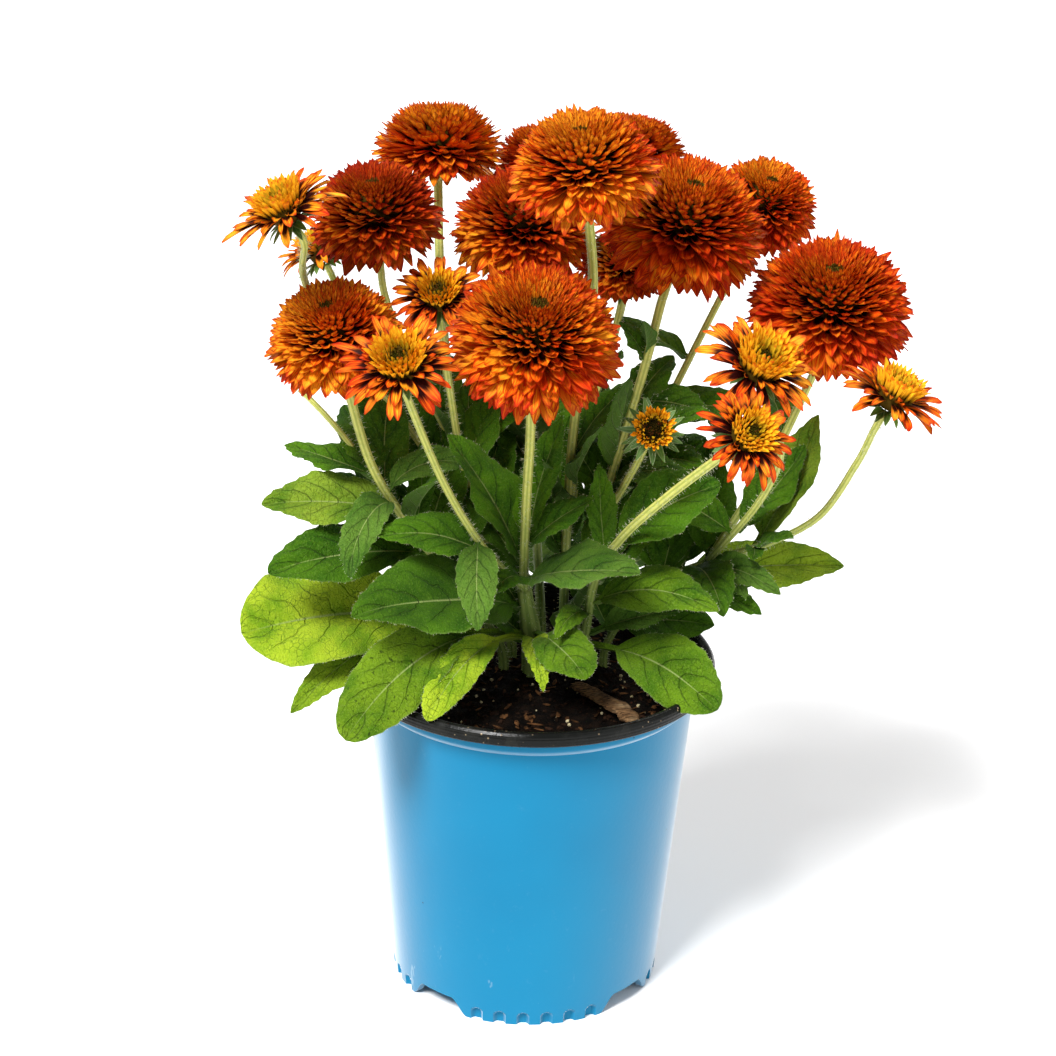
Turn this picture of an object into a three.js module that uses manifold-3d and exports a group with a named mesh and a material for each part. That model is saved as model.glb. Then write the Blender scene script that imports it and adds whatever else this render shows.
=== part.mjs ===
// Potted black-eyed susan with double, pompom-like orange blooms.
// Millimetres, +Z up. The origin is on the ground under the middle of the pot, and the front faces -Y.
import * as THREE from 'three';
import { mergeVertices } from 'three/addons/utils/BufferGeometryUtils.js';
import Module from 'manifold-3d';

const wasm = await Module();
wasm.setup();

// Pot
const POT_HEIGHT = 156;
const RIM_RADIUS = 82.5;
const WALL = 1.6;
const BASE_RADIUS = 60.8;
const SHOULDER_RADIUS = 73.4;
const SHOULDER_HEIGHT = 141.6;
const COLLAR_RADIUS = 76.6;
const LIP_HEIGHT = 6.6;
const FLOOR_HEIGHT = 10.2;
const CENTRE_PAD_RADIUS = 16;
const POT_SIDES = 28;
const FOOT_COUNT = 4;
const FIRST_ARCH_AZIMUTH = -130;
const ARCH_HALF_WIDTH = 16.6;
const ARCH_TOP_SHARE = 0.5;
const ARCH_HEIGHT = 8.2;
const FLUTES_PER_FOOT = 6;
const FLUTE_PITCH = 10;
const FLUTE_HALF_WIDTH = 2.7;
const FLUTE_HEIGHT = 6.4;
const FLUTE_DEPTH = 2;
const FOOT_THICKNESS = 3.4;

// Clearance between two pieces that touch
const GAP = 0.3;

// Soil
const SOIL_HEIGHT = 143;
const SOIL_MOUND = 3;
const SOIL_ROUGHNESS = 0.9;
const SOIL_RING_RADIUS = 46;
const STEM_DEPTH = 14;
const STEM_FOOT = SOIL_HEIGHT - STEM_DEPTH;

// Stems and leaves
const STEM_SIDES = 5;
const STEM_STEP = 36;
const LEAF_THICKNESS = 1.7;
const LEAF_FOLD = 0.34;
const LEAF_WAVE = 0.1;
const STALK_HALF_WIDTH = 1.1;
// Degrees that a leaf at the side of the plant turns its face to the front.
const FRONT_TURN = 42;
const BACK_TURN = 12;
// Cross sections along a leaf, as parts of its blade; short leaves take fewer.
const LONG_LEAF = 46;
const LONG_STATIONS = [0, 0.24, 0.54, 0.82];
const SHORT_STATIONS = [0, 0.36, 0.76];
const LEAF_PATH_STEPS = 24;

// Blooms
const DOME_PETALS = 11;
const DAISY_PETALS = 9;
const BUD_PETALS = 9;
const BRACT_COUNT = 6;
const BRACT_REACH = 14;
const BRACT_SAG = 5.5;
const BUD_BRACT_REACH = 17;
const GREEN_BUD_REACH = 9;
const EYE_SIDES = 6;
// How far along its petal a pointed petal is widest, and how far it bulges up there.
const PETAL_SHOULDER = 0.56;
const PETAL_BULGE = 0.05;
// Half widths of a pointed petal and of a blunt floret, as parts of the pitch between petals.
const PETAL_SPREAD = 0.36;
const FLORET_SPREAD = 0.18;

const RADIANS = Math.PI / 180;
const UP = new THREE.Vector3(0, 0, 1);

const COLOURS = {
  pot: { color: 0x2f8fc9, roughness: 0.35 },
  soil: { color: 0x2b1c14, roughness: 1 },
  bark: { color: 0x6e4e35, roughness: 0.9 },
  foliage: { color: 0x4d7a2c, roughness: 0.7 },
  petal: { color: 0xc8501a, roughness: 0.6 },
  paleEye: { color: 0x7a7426, roughness: 0.8 },
  darkEye: { color: 0x3a2a14, roughness: 0.8 },
};

// Each bloom: kind, centre of its widest plane, radius to the petal tips, lean from upright and its azimuth.
const BLOOMS = {
  '01': { kind: 'dome', at: [-47, 80, 366], radius: 30, lean: 12, towards: 92 },
  '02': { kind: 'daisy', at: [-105, -50, 374], radius: 24, lean: 30, towards: 205 },
  '03': { kind: 'dome', at: [-71, 5, 357], radius: 29, lean: 13, towards: -112 },
  '04': { kind: 'dome', at: [-8, 35, 345], radius: 32, lean: 12, towards: -86 },
  '05': { kind: 'dome', at: [16, -50, 395], radius: 31, lean: 12, towards: -125 },
  '06': { kind: 'dome', at: [39, 62, 370], radius: 26, lean: 12, towards: 40 },
  '07': { kind: 'dome', at: [0, 112, 353], radius: 24, lean: 12, towards: 100 },
  '08': { kind: 'dome', at: [61, 10, 355], radius: 36, lean: 18, towards: -55 },
  '09': { kind: 'dome', at: [98, 60, 350], radius: 25, lean: 24, towards: -60 },
  '10': { kind: 'dome', at: [124, 0, 323], radius: 36, lean: 18, towards: -90 },
  '11': { kind: 'daisy', at: [90, -60, 315], radius: 27, lean: 33, towards: -55 },
  '12': { kind: 'daisy', at: [83, -108, 303], radius: 21, lean: 50, towards: -60 },
  '13': { kind: 'daisy', at: [147, -50, 300], radius: 24, lean: 24, towards: -10 },
  '14': { kind: 'bud', at: [48, -50, 283], radius: 10, lean: 62, towards: -88 },
  '15': { kind: 'dome', at: [-2, -60, 326], radius: 36, lean: 26, towards: -80 },
  '16': { kind: 'daisy', at: [-43, -16, 328], radius: 20, lean: 36, towards: -92 },
  '17': { kind: 'daisy', at: [-56, -85, 321], radius: 25, lean: 33, towards: -100 },
  '18': { kind: 'dome', at: [-86, -35, 316], radius: 29, lean: 20, towards: -125 },
  '19': { kind: 'dome', at: [36, 42, 326], radius: 20, lean: 15, towards: -90 },
  '21': { kind: 'daisy', at: [-99, 60, 324], radius: 20, lean: 25, towards: 170 },
};

// Each stem: the shoot that it belongs to, its radius, its route, and the bloom on its end.
const STEMS = {
  centre: { shoot: 'centre', radius: 2.5, bloom: '15',
    route: [[0, 2, STEM_FOOT], [0, 2, 158], [-4, -6, 190], [-4, -26, 238], [-3, -44, 278]] },
  centre_base: { shoot: 'centre', radius: 4.4,
    route: [[0, 2, STEM_FOOT], [0, 2, 158], [-4, -6, 190]] },
  centre_low: { shoot: 'centre', radius: 2, bloom: '17',
    route: [[-4, -6, 190], [-14, -16, 204], [-26, -32, 226], [-40, -52, 260]] },
  left: { shoot: 'left', radius: 2.5, bloom: '18',
    route: [[-14, 6, STEM_FOOT], [-14, 6, 156], [-34, -2, 188], [-58, -12, 226], [-72, -22, 256]] },
  left_bud: { shoot: 'left', radius: 1.6, bud: true,
    route: [[-58, -12, 226], [-75, -6, 248], [-90, 2, 264], [-104, 9, 276]] },
  back_left: { shoot: 'back_left', radius: 2.5, bloom: '01',
    route: [[-10, 20, STEM_FOOT], [-10, 20, 158], [-22, 22, 200], [-36, 22, 245], [-44, 46, 310]] },
  back_left_near: { shoot: 'back_left', radius: 2, bloom: '16',
    route: [[-22, 22, 200], [-32, 8, 240], [-38, -2, 280]] },
  back_left_mid: { shoot: 'back_left', radius: 2, bloom: '03',
    route: [[-36, 22, 245], [-56, 14, 288], [-67, 12, 318]] },
  back_left_out: { shoot: 'back_left', radius: 2, bloom: '02',
    route: [[-22, 22, 200], [-60, 14, 262], [-90, 8, 300], [-100, -14, 334]] },
  back_left_far: { shoot: 'back_left', radius: 2, bloom: '21',
    route: [[-60, 14, 262], [-80, 38, 288]] },
  back: { shoot: 'back', radius: 2.5, bloom: '04',
    route: [[4, 24, STEM_FOOT], [4, 24, 158], [0, 34, 210], [-6, 42, 270], [-9, 44, 302]] },
  back_far: { shoot: 'back', radius: 2, bloom: '07',
    route: [[0, 34, 210], [2, 66, 270], [0, 100, 320]] },
  middle: { shoot: 'middle', radius: 2.5, bloom: '05',
    route: [[14, 12, STEM_FOOT], [14, 12, 158], [14, 8, 210], [16, 2, 266], [22, -12, 325]] },
  middle_far: { shoot: 'middle', radius: 2, bloom: '06',
    route: [[14, 8, 210], [24, 44, 250], [38, 74, 300], [40, 72, 330]] },
  middle_low: { shoot: 'middle', radius: 2, bloom: '19',
    route: [[14, 8, 210], [20, 26, 250], [30, 40, 280]] },
  back_right: { shoot: 'back_right', radius: 2.5, bloom: '08',
    route: [[20, 30, STEM_FOOT], [20, 30, 158], [26, 18, 205], [36, 4, 252], [46, 2, 294], [52, 8, 320]] },
  back_right_far: { shoot: 'back_right', radius: 2, bloom: '09',
    route: [[26, 18, 205], [44, 20, 240], [62, 32, 276], [80, 52, 308]] },
  back_right_bud: { shoot: 'back_right', radius: 2, bloom: '14',
    route: [[26, 18, 205], [34, -2, 230], [43, -20, 256]] },
  front_right: { shoot: 'front_right', radius: 2.5, bloom: '12',
    route: [[23, -2, STEM_FOOT], [23, -2, 156], [27, -16, 200], [38, -38, 230], [56, -64, 260]] },
  right: { shoot: 'right', radius: 2, bloom: '13',
    route: [[34, 13, STEM_FOOT], [34, 13, 156], [54, 18, 182], [78, 16, 196], [104, 6, 210], [124, -10, 230],
      [136, -30, 262]] },
  right_near: { shoot: 'right', radius: 2, bloom: '11',
    route: [[78, 16, 196], [98, -8, 236], [103, -34, 272]] },
  right_high: { shoot: 'right', radius: 2.3, bloom: '10',
    route: [[78, 16, 196], [104, 26, 240], [120, 26, 280]] },
};

// Each leaf: its stem, the height where it leaves it, then the azimuth, length, width, rise at its foot,
// droop along it, all in millimetres and degrees, and the part of its length that is bare stalk.
const LEAVES = [
  ['left', 247, 145, 52, 18, 10, 15, 0.1],
  ['left', 229, -173, 60, 26, 15, 22, 0.08],
  ['left', 206, -153, 78, 28, 19, 32, 0.1],
  ['left', 233, -118, 52, 17, 30, 125, 0.06],
  ['left', 245, 112, 52, 22, 25, 10, 0.1],
  ['left', 225, 140, 44, 18, 17, 10, 0.1],
  ['left', 216, 74, 42, 12, 80, 0, 0.1],
  ['left', 222, -60, 46, 16, 62, 30, 0.1],
  ['left', 238, 5, 46, 14, 66, 100, 0.1],
  ['left', 162, -160, 120, 54, 25, 34, 0.38],
  ['left', 161, -149, 110, 22, 25, 66, 0.3],
  ['centre', 179, -139, 102, 42, 31, 36, 0.12],
  ['centre_low', 214, -160, 54, 21, 31, 30, 0.08],
  ['centre_low', 223, -88, 44, 18, -15, 60, 0.08],
  ['centre', 204, -168, 72, 29, 66, 10, 0.08],
  ['centre', 195, -115, 32, 16, 41, 60, 0.1],
  ['centre', 195, -49, 80, 29, 32, 22, 0.08],
  ['centre', 212, 40, 62, 20, 74, 5, 0.1],
  ['centre', 214, -18, 42, 16, 52, 20, 0.1],
  ['centre', 172, 175, 48, 22, 60, 20, 0.1],
  ['centre', 164, -135, 120, 32, 30, 76, 0.35],
  ['centre', 162, -121, 92, 18, 34, 76, 0.35],
  ['centre', 160, -84, 58, 12, 46, 90, 0.2],
  ['centre', 166, -66, 62, 24, 28, 50, 0.3],
  ['front_right', 222, 2, 54, 30, 44, 20, 0.08],
  ['front_right', 213, 110, 42, 14, 80, 10, 0.1],
  ['front_right', 186, -32, 68, 24, 36, 50, 0.1],
  ['front_right', 163, -40, 77, 31, 13, 38, 0.25],
  ['front_right', 178, -118, 34, 11, 52, 100, 0.1],
  ['front_right', 168, -18, 50, 14, 34, 20, 0.2],
  ['front_right', 196, 20, 58, 24, 50, 25, 0.1],
  ['right', 193, -76, 48, 22, 24, 60, 0.1],
  ['right', 197, -58, 30, 10, 12, 60, 0.1],
  ['right', 189, 12, 79, 24, 6, 14, 0.1],
  ['right', 192, -41, 52, 15, 23, 40, 0.1],
  ['right', 184, -28, 52, 17, 12, 32, 0.1],
  ['right_near', 215, 20, 50, 24, 40, -20, 0.1],
  ['right', 206, 28, 66, 26, 58, -10, 0.1],
  ['right', 206, -50, 28, 11, 44, 30, 0.08],
  ['right', 206, -95, 18, 9, 20, 30, 0.08],
  ['right', 184, 110, 66, 25, 62, 25, 0.1],
  ['back_right', 240, -66, 52, 17, 77, 5, 0.1],
  ['back_right', 272, 42, 32, 19, 50, 20, 0.1],
  ['back_right', 276, 12, 38, 16, 10, 50, 0.1],
  ['back_right', 253, -28, 50, 18, 42, 20, 0.1],
  ['back_right', 234, -46, 52, 16, 42, 40, 0.1],
  ['back_right', 214, -5, 62, 26, 55, 25, 0.1],
  ['back_right', 200, -60, 52, 22, 64, 25, 0.1],
  ['back_right', 295, 187, 22, 11, 66, 20, 0.1],
  ['back_right', 300, -110, 18, 8, 67, 10, 0.1],
  ['back_left', 172, 155, 86, 32, 24, 40, 0.3],
  ['back_left', 190, 115, 78, 28, 34, 40, 0.1],
  ['back_left', 205, -165, 66, 26, 58, 20, 0.1],
  ['back_left', 228, 160, 60, 22, 35, 30, 0.08],
  ['back_left', 242, -120, 40, 16, 66, 20, 0.1],
  ['back_left', 262, 120, 44, 17, 40, 30, 0.08],
  ['back_left_out', 255, 170, 46, 18, 45, 25, 0.08],
  ['back', 166, 92, 90, 32, 22, 40, 0.3],
  ['back', 196, 118, 70, 26, 42, 35, 0.08],
  ['back', 222, 65, 60, 22, 40, 35, 0.08],
  ['back', 232, -100, 46, 20, 70, 20, 0.08],
  ['back_far', 250, 105, 44, 18, 30, 35, 0.08],
  ['middle', 236, -52, 40, 16, 68, 20, 0.08],
  ['middle', 196, -165, 52, 20, 70, 10, 0.08],
  ['back_right', 166, 50, 92, 32, 22, 40, 0.3],
  ['back_right', 186, 75, 72, 26, 36, 40, 0.08],
  ['back_right_far', 232, 40, 50, 19, 30, 35, 0.08],
  ['back_right_far', 262, 40, 40, 17, 15, 35, 0.08],
  ['right', 168, 30, 84, 28, 20, 35, 0.2],
  ['right_high', 226, 60, 46, 18, 30, 35, 0.08],
  ['right_high', 252, 100, 34, 15, 40, 40, 0.08],
  ['back', 230, 160, 46, 24, 60, 10, 0.1],
  ['back_left_near', 235, 90, 46, 24, 60, 10, 0.1],
  ['middle_far', 240, -20, 46, 20, 60, 10, 0.1],
  ['right', 190, 60, 46, 24, 60, 10, 0.1],
];

// Mulberry generator, so that every draw repeats.
function randomFrom(seed) {
  let state = seed;
  return () => {
    state = (state + 0x6d2b79f5) | 0;
    let mixed = Math.imul(state ^ (state >>> 15), 1 | state);
    mixed = (mixed + Math.imul(mixed ^ (mixed >>> 7), 61 | mixed)) ^ mixed;
    return ((mixed ^ (mixed >>> 14)) >>> 0) / 4294967296;
  };
}

function toSolid(geometry) {
  const bare = geometry.clone();
  bare.deleteAttribute('normal');
  bare.deleteAttribute('uv');
  const merged = mergeVertices(bare, 1e-4);
  const vertProperties = new Float32Array(merged.attributes.position.array);
  const triVerts = new Uint32Array(merged.index.array);
  return new wasm.Manifold(new wasm.Mesh({ numProp: 3, vertProperties, triVerts }));
}

function toGeometry(solid) {
  const { vertProperties, triVerts } = solid.getMesh();
  const geometry = new THREE.BufferGeometry();
  geometry.setAttribute('position', new THREE.BufferAttribute(new Float32Array(vertProperties), 3));
  geometry.setIndex(new THREE.BufferAttribute(new Uint32Array(triVerts), 1));
  geometry.computeVertexNormals();
  return geometry;
}

function fromTriangles(points, faces) {
  const geometry = new THREE.BufferGeometry();
  geometry.setAttribute('position', new THREE.Float32BufferAttribute(points.flatMap((p) => p.toArray()), 3));
  geometry.setIndex(faces.flat());
  geometry.computeVertexNormals();
  return geometry;
}

function makeMesh(name, geometry, look) {
  const mesh = new THREE.Mesh(geometry, new THREE.MeshStandardMaterial({ metalness: 0, ...look }));
  mesh.name = name;
  return mesh;
}

function heading(azimuth) {
  return new THREE.Vector3(Math.cos(azimuth * RADIANS), Math.sin(azimuth * RADIANS), 0);
}

// Lathe profile points are [radius, height]; the lathe turns about Z.
function latheAboutZ(profile, sides) {
  const points = profile.map(([radius, height]) => new THREE.Vector2(radius, height));
  return new THREE.LatheGeometry(points, sides).rotateX(Math.PI / 2);
}

// A prism with the given outline, which stands on z = 0 and runs outwards between two radii.
function wallCutter(corners, inner, outer, azimuth) {
  const outline = new THREE.Shape(corners.map(([across, height]) => new THREE.Vector2(across, height)));
  const prism = new THREE.ExtrudeGeometry(outline, { depth: outer - inner, bevelEnabled: false });
  prism.rotateX(Math.PI / 2);
  prism.translate(0, -inner, 0);
  prism.rotateZ((azimuth + 90) * RADIANS);
  return toSolid(prism);
}

// The wide gap between two feet, with S-curved sides.
function archCutter(azimuth) {
  const [w, top] = [ARCH_HALF_WIDTH, ARCH_TOP_SHARE];
  const right = [[1, -1], [0.86, 0.2 * ARCH_HEIGHT], [0.64, 0.8 * ARCH_HEIGHT], [top, ARCH_HEIGHT]];
  const corners = right.map(([share, height]) => [share * w, height]);
  const left = corners.map(([across, height]) => [-across, height]).reverse();
  return wallCutter([...corners, ...left], BASE_RADIUS - 8, BASE_RADIUS + 8, azimuth);
}

// A short flute with a rounded top, pressed into a foot.
function fluteCutter(azimuth) {
  const [w, h] = [FLUTE_HALF_WIDTH, FLUTE_HEIGHT];
  const corners = [[-w, -1], [w, -1], [w * 0.8, h * 0.7], [0, h], [-w * 0.8, h * 0.7]];
  return wallCutter(corners, BASE_RADIUS - FLUTE_DEPTH, BASE_RADIUS + 4, azimuth);
}

function innerRadius(height) {
  const slope = (SHOULDER_RADIUS - BASE_RADIUS) / SHOULDER_HEIGHT;
  return BASE_RADIUS + slope * height - WALL;
}

function makePot() {
  const top = POT_HEIGHT;
  const collarTop = top - LIP_HEIGHT;
  const profile = [
    [0, 0], [CENTRE_PAD_RADIUS, 0], [CENTRE_PAD_RADIUS + 1.5, FLOOR_HEIGHT - WALL],
    [BASE_RADIUS - FOOT_THICKNESS, FLOOR_HEIGHT - WALL], [BASE_RADIUS - FOOT_THICKNESS, 0],
    [BASE_RADIUS, 0], [SHOULDER_RADIUS, SHOULDER_HEIGHT], [COLLAR_RADIUS, SHOULDER_HEIGHT + 1.4],
    [COLLAR_RADIUS + 0.3, collarTop], [RIM_RADIUS - 0.9, collarTop + 0.4], [RIM_RADIUS, collarTop + 3.2],
    [RIM_RADIUS - 1.9, top], [RIM_RADIUS - 4.1, top - 1], [COLLAR_RADIUS - 1.8, collarTop - 0.5],
    [innerRadius(SHOULDER_HEIGHT), SHOULDER_HEIGHT],
    [innerRadius(FLOOR_HEIGHT + WALL), FLOOR_HEIGHT + WALL], [innerRadius(FLOOR_HEIGHT) - 2, FLOOR_HEIGHT],
    [0, FLOOR_HEIGHT],
  ];
  let pot = toSolid(latheAboutZ(profile, POT_SIDES));
  const footPitch = 360 / FOOT_COUNT;
  for (let foot = 0; foot < FOOT_COUNT; foot += 1) {
    const arch = FIRST_ARCH_AZIMUTH + foot * footPitch;
    pot = pot.subtract(archCutter(arch));
    const firstFlute = arch + (footPitch - (FLUTES_PER_FOOT - 1) * FLUTE_PITCH) / 2;
    for (let flute = 0; flute < FLUTES_PER_FOOT; flute += 1) {
      pot = pot.subtract(fluteCutter(firstFlute + flute * FLUTE_PITCH));
    }
  }
  return makeMesh('pot', toGeometry(pot), COLOURS.pot);
}

// A closed blade: each station is a left edge, a top, a right edge and a bottom point, and a tip ends it.
function bladeGeometry(stations, tip) {
  const points = stations.flat().concat(tip);
  const tipIndex = points.length - 1;
  const faces = [[0, 2, 1], [0, 3, 2]];
  for (let station = 0; station + 1 < stations.length; station += 1) {
    for (let side = 0; side < 4; side += 1) {
      const next = (side + 1) % 4;
      const [a, b] = [station * 4 + side, station * 4 + next];
      const [c, d] = [a + 4, b + 4];
      faces.push(...(side < 2 ? [[a, b, d], [a, d, c]] : [[a, b, c], [b, d, c]]));
    }
  }
  const last = (stations.length - 1) * 4;
  for (let side = 0; side < 4; side += 1) {
    faces.push([last + side, last + ((side + 1) % 4), tipIndex]);
  }
  return fromTriangles(points, faces);
}

// Half of the blade's width at a part of its length: a bare stalk, then a lance-shaped blade.
function leafHalfWidth(part, width, stalk) {
  const along = Math.max(0, (part - stalk) / (1 - stalk));
  return Math.max(STALK_HALF_WIDTH, 0.5 * width * Math.sin(Math.PI * along ** 0.78) ** 0.72);
}

function leafGeometry(foot, [, , azimuth, length, width, rise, droop, stalk]) {
  const out = heading(azimuth);
  const level = new THREE.Vector3().crossVectors(UP, out);
  const faces = Math.sin(azimuth * RADIANS) < 0.3 ? FRONT_TURN : BACK_TURN;
  const roll = -Math.cos(azimuth * RADIANS) * faces * RADIANS;
  const places = length > LONG_LEAF ? LONG_STATIONS : SHORT_STATIONS;
  const parts = places.map((part) => (part === 0 ? 0 : stalk + (1 - stalk) * part));
  if (stalk > 0.15) {
    parts.splice(1, 0, stalk);
  }
  const path = [foot.clone()];
  for (let step = 0; step < LEAF_PATH_STEPS; step += 1) {
    const slope = (rise - (droop * (step + 0.5)) / LEAF_PATH_STEPS) * RADIANS;
    const ahead = out.clone().multiplyScalar(Math.cos(slope)).addScaledVector(UP, Math.sin(slope));
    path.push(path[step].clone().addScaledVector(ahead, length / LEAF_PATH_STEPS));
  }
  const pointAt = (part) => {
    const place = Math.min(part * LEAF_PATH_STEPS, LEAF_PATH_STEPS - 1e-6);
    const low = Math.floor(place);
    return path[low].clone().lerp(path[low + 1], place - low);
  };
  const stations = parts.map((part, index) => {
    const slope = (rise - droop * part) * RADIANS;
    const upright = UP.clone().multiplyScalar(Math.cos(slope)).addScaledVector(out, -Math.sin(slope));
    const side = level.clone().multiplyScalar(Math.cos(roll)).addScaledVector(upright, -Math.sin(roll));
    const normal = upright.clone().multiplyScalar(Math.cos(roll)).addScaledVector(level, Math.sin(roll));
    const half = leafHalfWidth(part, width, stalk);
    const lift = half * LEAF_FOLD;
    const wave = half * LEAF_WAVE * (index % 2 ? 1 : -1);
    const rib = pointAt(part);
    const thickness = 0.5 * LEAF_THICKNESS * (1 - 0.3 * part);
    return [
      rib.clone().addScaledVector(side, half).addScaledVector(normal, lift + wave),
      rib.clone().addScaledVector(normal, thickness),
      rib.clone().addScaledVector(side, -half).addScaledVector(normal, lift - wave),
      rib.clone().addScaledVector(normal, -thickness),
    ];
  });
  return bladeGeometry(stations, pointAt(1));
}

function bloomFrame({ at, lean, towards }) {
  const axis = heading(towards).multiplyScalar(Math.sin(lean * RADIANS));
  axis.z = Math.cos(lean * RADIANS);
  const turn = new THREE.Quaternion().setFromUnitVectors(UP, axis);
  return { centre: new THREE.Vector3(...at), axis, turn };
}

// Rows of petals from the underside up. Each row has the radius and height of its lower edge on the core
// and of its petal tips, as parts of the bloom's radius.
const FORMS = {
  dome: { petals: DOME_PETALS, seat: 7, drop: 8, eye: 0.13, eyeHeight: 0.07,
    rows: [
      { foot: null, tip: [0.87, -0.56], pointed: true },
      { foot: [0.56, -0.22], tip: [1, -0.2], pointed: true },
      { foot: [0.7, 0.03], tip: [0.98, 0.18], pointed: true },
      { foot: [0.66, 0.3], tip: [0.81, 0.46], pointed: false },
      { foot: [0.46, 0.5], tip: [0.5, 0.68], pointed: false },
    ],
    crown: [0.16, 0.6] },
  daisy: { petals: DAISY_PETALS, seat: 5.5, drop: 5, eye: 0.19, eyeHeight: 0.1,
    rows: [
      { foot: null, tip: [1, -0.16], pointed: true },
      { foot: [0.34, -0.06], tip: [0.88, 0.18], pointed: true },
      { foot: [0.4, 0.1], tip: [0.62, 0.42], pointed: false },
      { foot: [0.38, 0.26], tip: [0.4, 0.56], pointed: false },
    ],
    crown: [0.22, 0.34] },
  bud: { petals: BUD_PETALS, seat: 4, drop: 4, eye: 0.48, eyeHeight: 0.2,
    rows: [
      { foot: null, tip: [1, 0.3], pointed: false },
      { foot: [0.6, 0.05], tip: [0.74, 0.62], pointed: false },
    ],
    crown: [0.54, 0.26] },
};

// One closed body: a core whose cells, staggered row by row, are drawn out into petals.
function bloomGeometry(bloom, seed) {
  const form = FORMS[bloom.kind];
  const random = randomFrom(seed);
  const pitch = (2 * Math.PI) / form.petals;
  const scaled = ([radius, height]) => [radius * bloom.radius, height * bloom.radius];
  const edges = form.rows.map((row) => (row.foot ? scaled(row.foot) : [form.seat, -form.drop]));
  edges.push(scaled(form.crown));
  const points = [];
  const faces = [];
  const polar = (radius, angle, height) => {
    points.push(new THREE.Vector3(radius * Math.cos(angle), radius * Math.sin(angle), height));
    return points.length - 1;
  };
  const rings = edges.map(([radius, height], ring) =>
    Array.from({ length: form.petals }, (_, k) => polar(radius, (k + ring / 2) * pitch, height)));
  form.rows.forEach((row, ring) => {
    const [tipRadius, tipHeight] = scaled(row.tip);
    const footRadius = (edges[ring][0] + edges[ring + 1][0]) / 2;
    const footHeight = (edges[ring][1] + edges[ring + 1][1]) / 2;
    for (let k = 0; k < form.petals; k += 1) {
      const next = (k + 1) % form.petals;
      const [a, b, c, d] = [rings[ring][k], rings[ring][next], rings[ring + 1][next], rings[ring + 1][k]];
      const angle = (k + 0.75 + ring / 2) * pitch + (random() - 0.5) * 0.16 * pitch;
      const reach = tipRadius * (0.95 + 0.1 * random());
      const height = tipHeight + (random() - 0.5) * 0.07 * bloom.radius;
      if (row.pointed) {
        const radius = footRadius + (reach - footRadius) * PETAL_SHOULDER;
        const level = footHeight + (height - footHeight) * PETAL_SHOULDER + PETAL_BULGE * bloom.radius;
        const spread = PETAL_SPREAD * pitch;
        const left = polar(radius, angle - spread, level);
        const right = polar(radius, angle + spread, level);
        const tip = polar(reach, angle, height);
        faces.push([a, b, tip], [b, right, tip], [a, tip, left], [b, c, right]);
        faces.push([c, d, tip], [c, tip, right], [d, left, tip], [d, a, left]);
      } else {
        const spread = FLORET_SPREAD * pitch;
        const left = polar(reach, angle - spread, height);
        const right = polar(reach, angle + spread, height);
        faces.push([a, b, right], [a, right, left], [b, c, right]);
        faces.push([c, d, left], [c, left, right], [d, a, left]);
      }
    }
  });
  const bottom = polar(0, 0, -form.drop);
  const top = polar(0, 0, scaled(form.crown)[1]);
  const last = rings[rings.length - 1];
  for (let k = 0; k < form.petals; k += 1) {
    const next = (k + 1) % form.petals;
    faces.push([bottom, rings[0][next], rings[0][k]], [top, last[k], last[next]]);
  }
  return fromTriangles(points, faces);
}

// The disc of a bloom: a low cone with a dimple, on a flat foot.
function eyeGeometry(bloom) {
  const form = FORMS[bloom.kind];
  const radius = form.eye * bloom.radius - GAP;
  const foot = form.crown[1] * bloom.radius + GAP;
  const height = form.eyeHeight * bloom.radius;
  const profile = [[0, foot], [radius, foot], [radius * 0.7, foot + height], [0, foot + height * 0.5]];
  return latheAboutZ(profile, EYE_SIDES);
}

// Green bracts under a bloom: a pointed star that is flat on top where the bloom sits.
function bractGeometry(seat, drop, reach, sag) {
  const points = [new THREE.Vector3(0, 0, -drop), new THREE.Vector3(0, 0, -drop - 5)];
  const faces = [];
  const count = BRACT_COUNT * 2;
  for (let k = 0; k < count; k += 1) {
    const out = heading((k * 360) / count);
    const isTip = k % 2 === 1;
    const height = -drop - (isTip ? sag : 0.6);
    points.push(out.multiplyScalar(isTip ? reach : seat).setZ(height));
    const [here, next] = [k + 2, ((k + 1) % count) + 2];
    faces.push([0, here, next], [1, next, here]);
  }
  return fromTriangles(points, faces);
}

function stemCurve(name) {
  const stem = STEMS[name];
  const points = stem.route.map((p) => new THREE.Vector3(...p));
  if (stem.bloom) {
    const bloom = BLOOMS[stem.bloom];
    const { centre, axis } = bloomFrame(bloom);
    const drop = FORMS[bloom.kind].drop;
    points.push(centre.clone().addScaledVector(axis, -drop - 12));
    points.push(centre.clone().addScaledVector(axis, -drop - 2.5));
  }
  return new THREE.CatmullRomCurve3(points, false, 'catmullrom', 0.5);
}

function stemSteps(curve) {
  return Math.max(3, Math.round(curve.getLength() / STEM_STEP));
}

// The point where a stem's straight stretches reach a height.
function stemPointAtHeight(name, height) {
  const curve = stemCurve(name);
  const corners = curve.getSpacedPoints(stemSteps(curve));
  const index = Math.max(1, corners.findIndex((corner) => corner.z >= height));
  const [low, high] = [corners[index - 1], corners[index]];
  return low.clone().lerp(high, (height - low.z) / (high.z - low.z));
}

function stemGeometry(name, margin = 0) {
  const curve = stemCurve(name);
  const radius = STEMS[name].radius + margin;
  const section = new THREE.Shape();
  for (let k = 0; k < STEM_SIDES; k += 1) {
    const angle = (k / STEM_SIDES) * 2 * Math.PI;
    section[k ? 'lineTo' : 'moveTo'](radius * Math.cos(angle), radius * Math.sin(angle));
  }
  const steps = stemSteps(curve);
  return new THREE.ExtrudeGeometry(section, { steps, bevelEnabled: false, extrudePath: curve });
}

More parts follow.
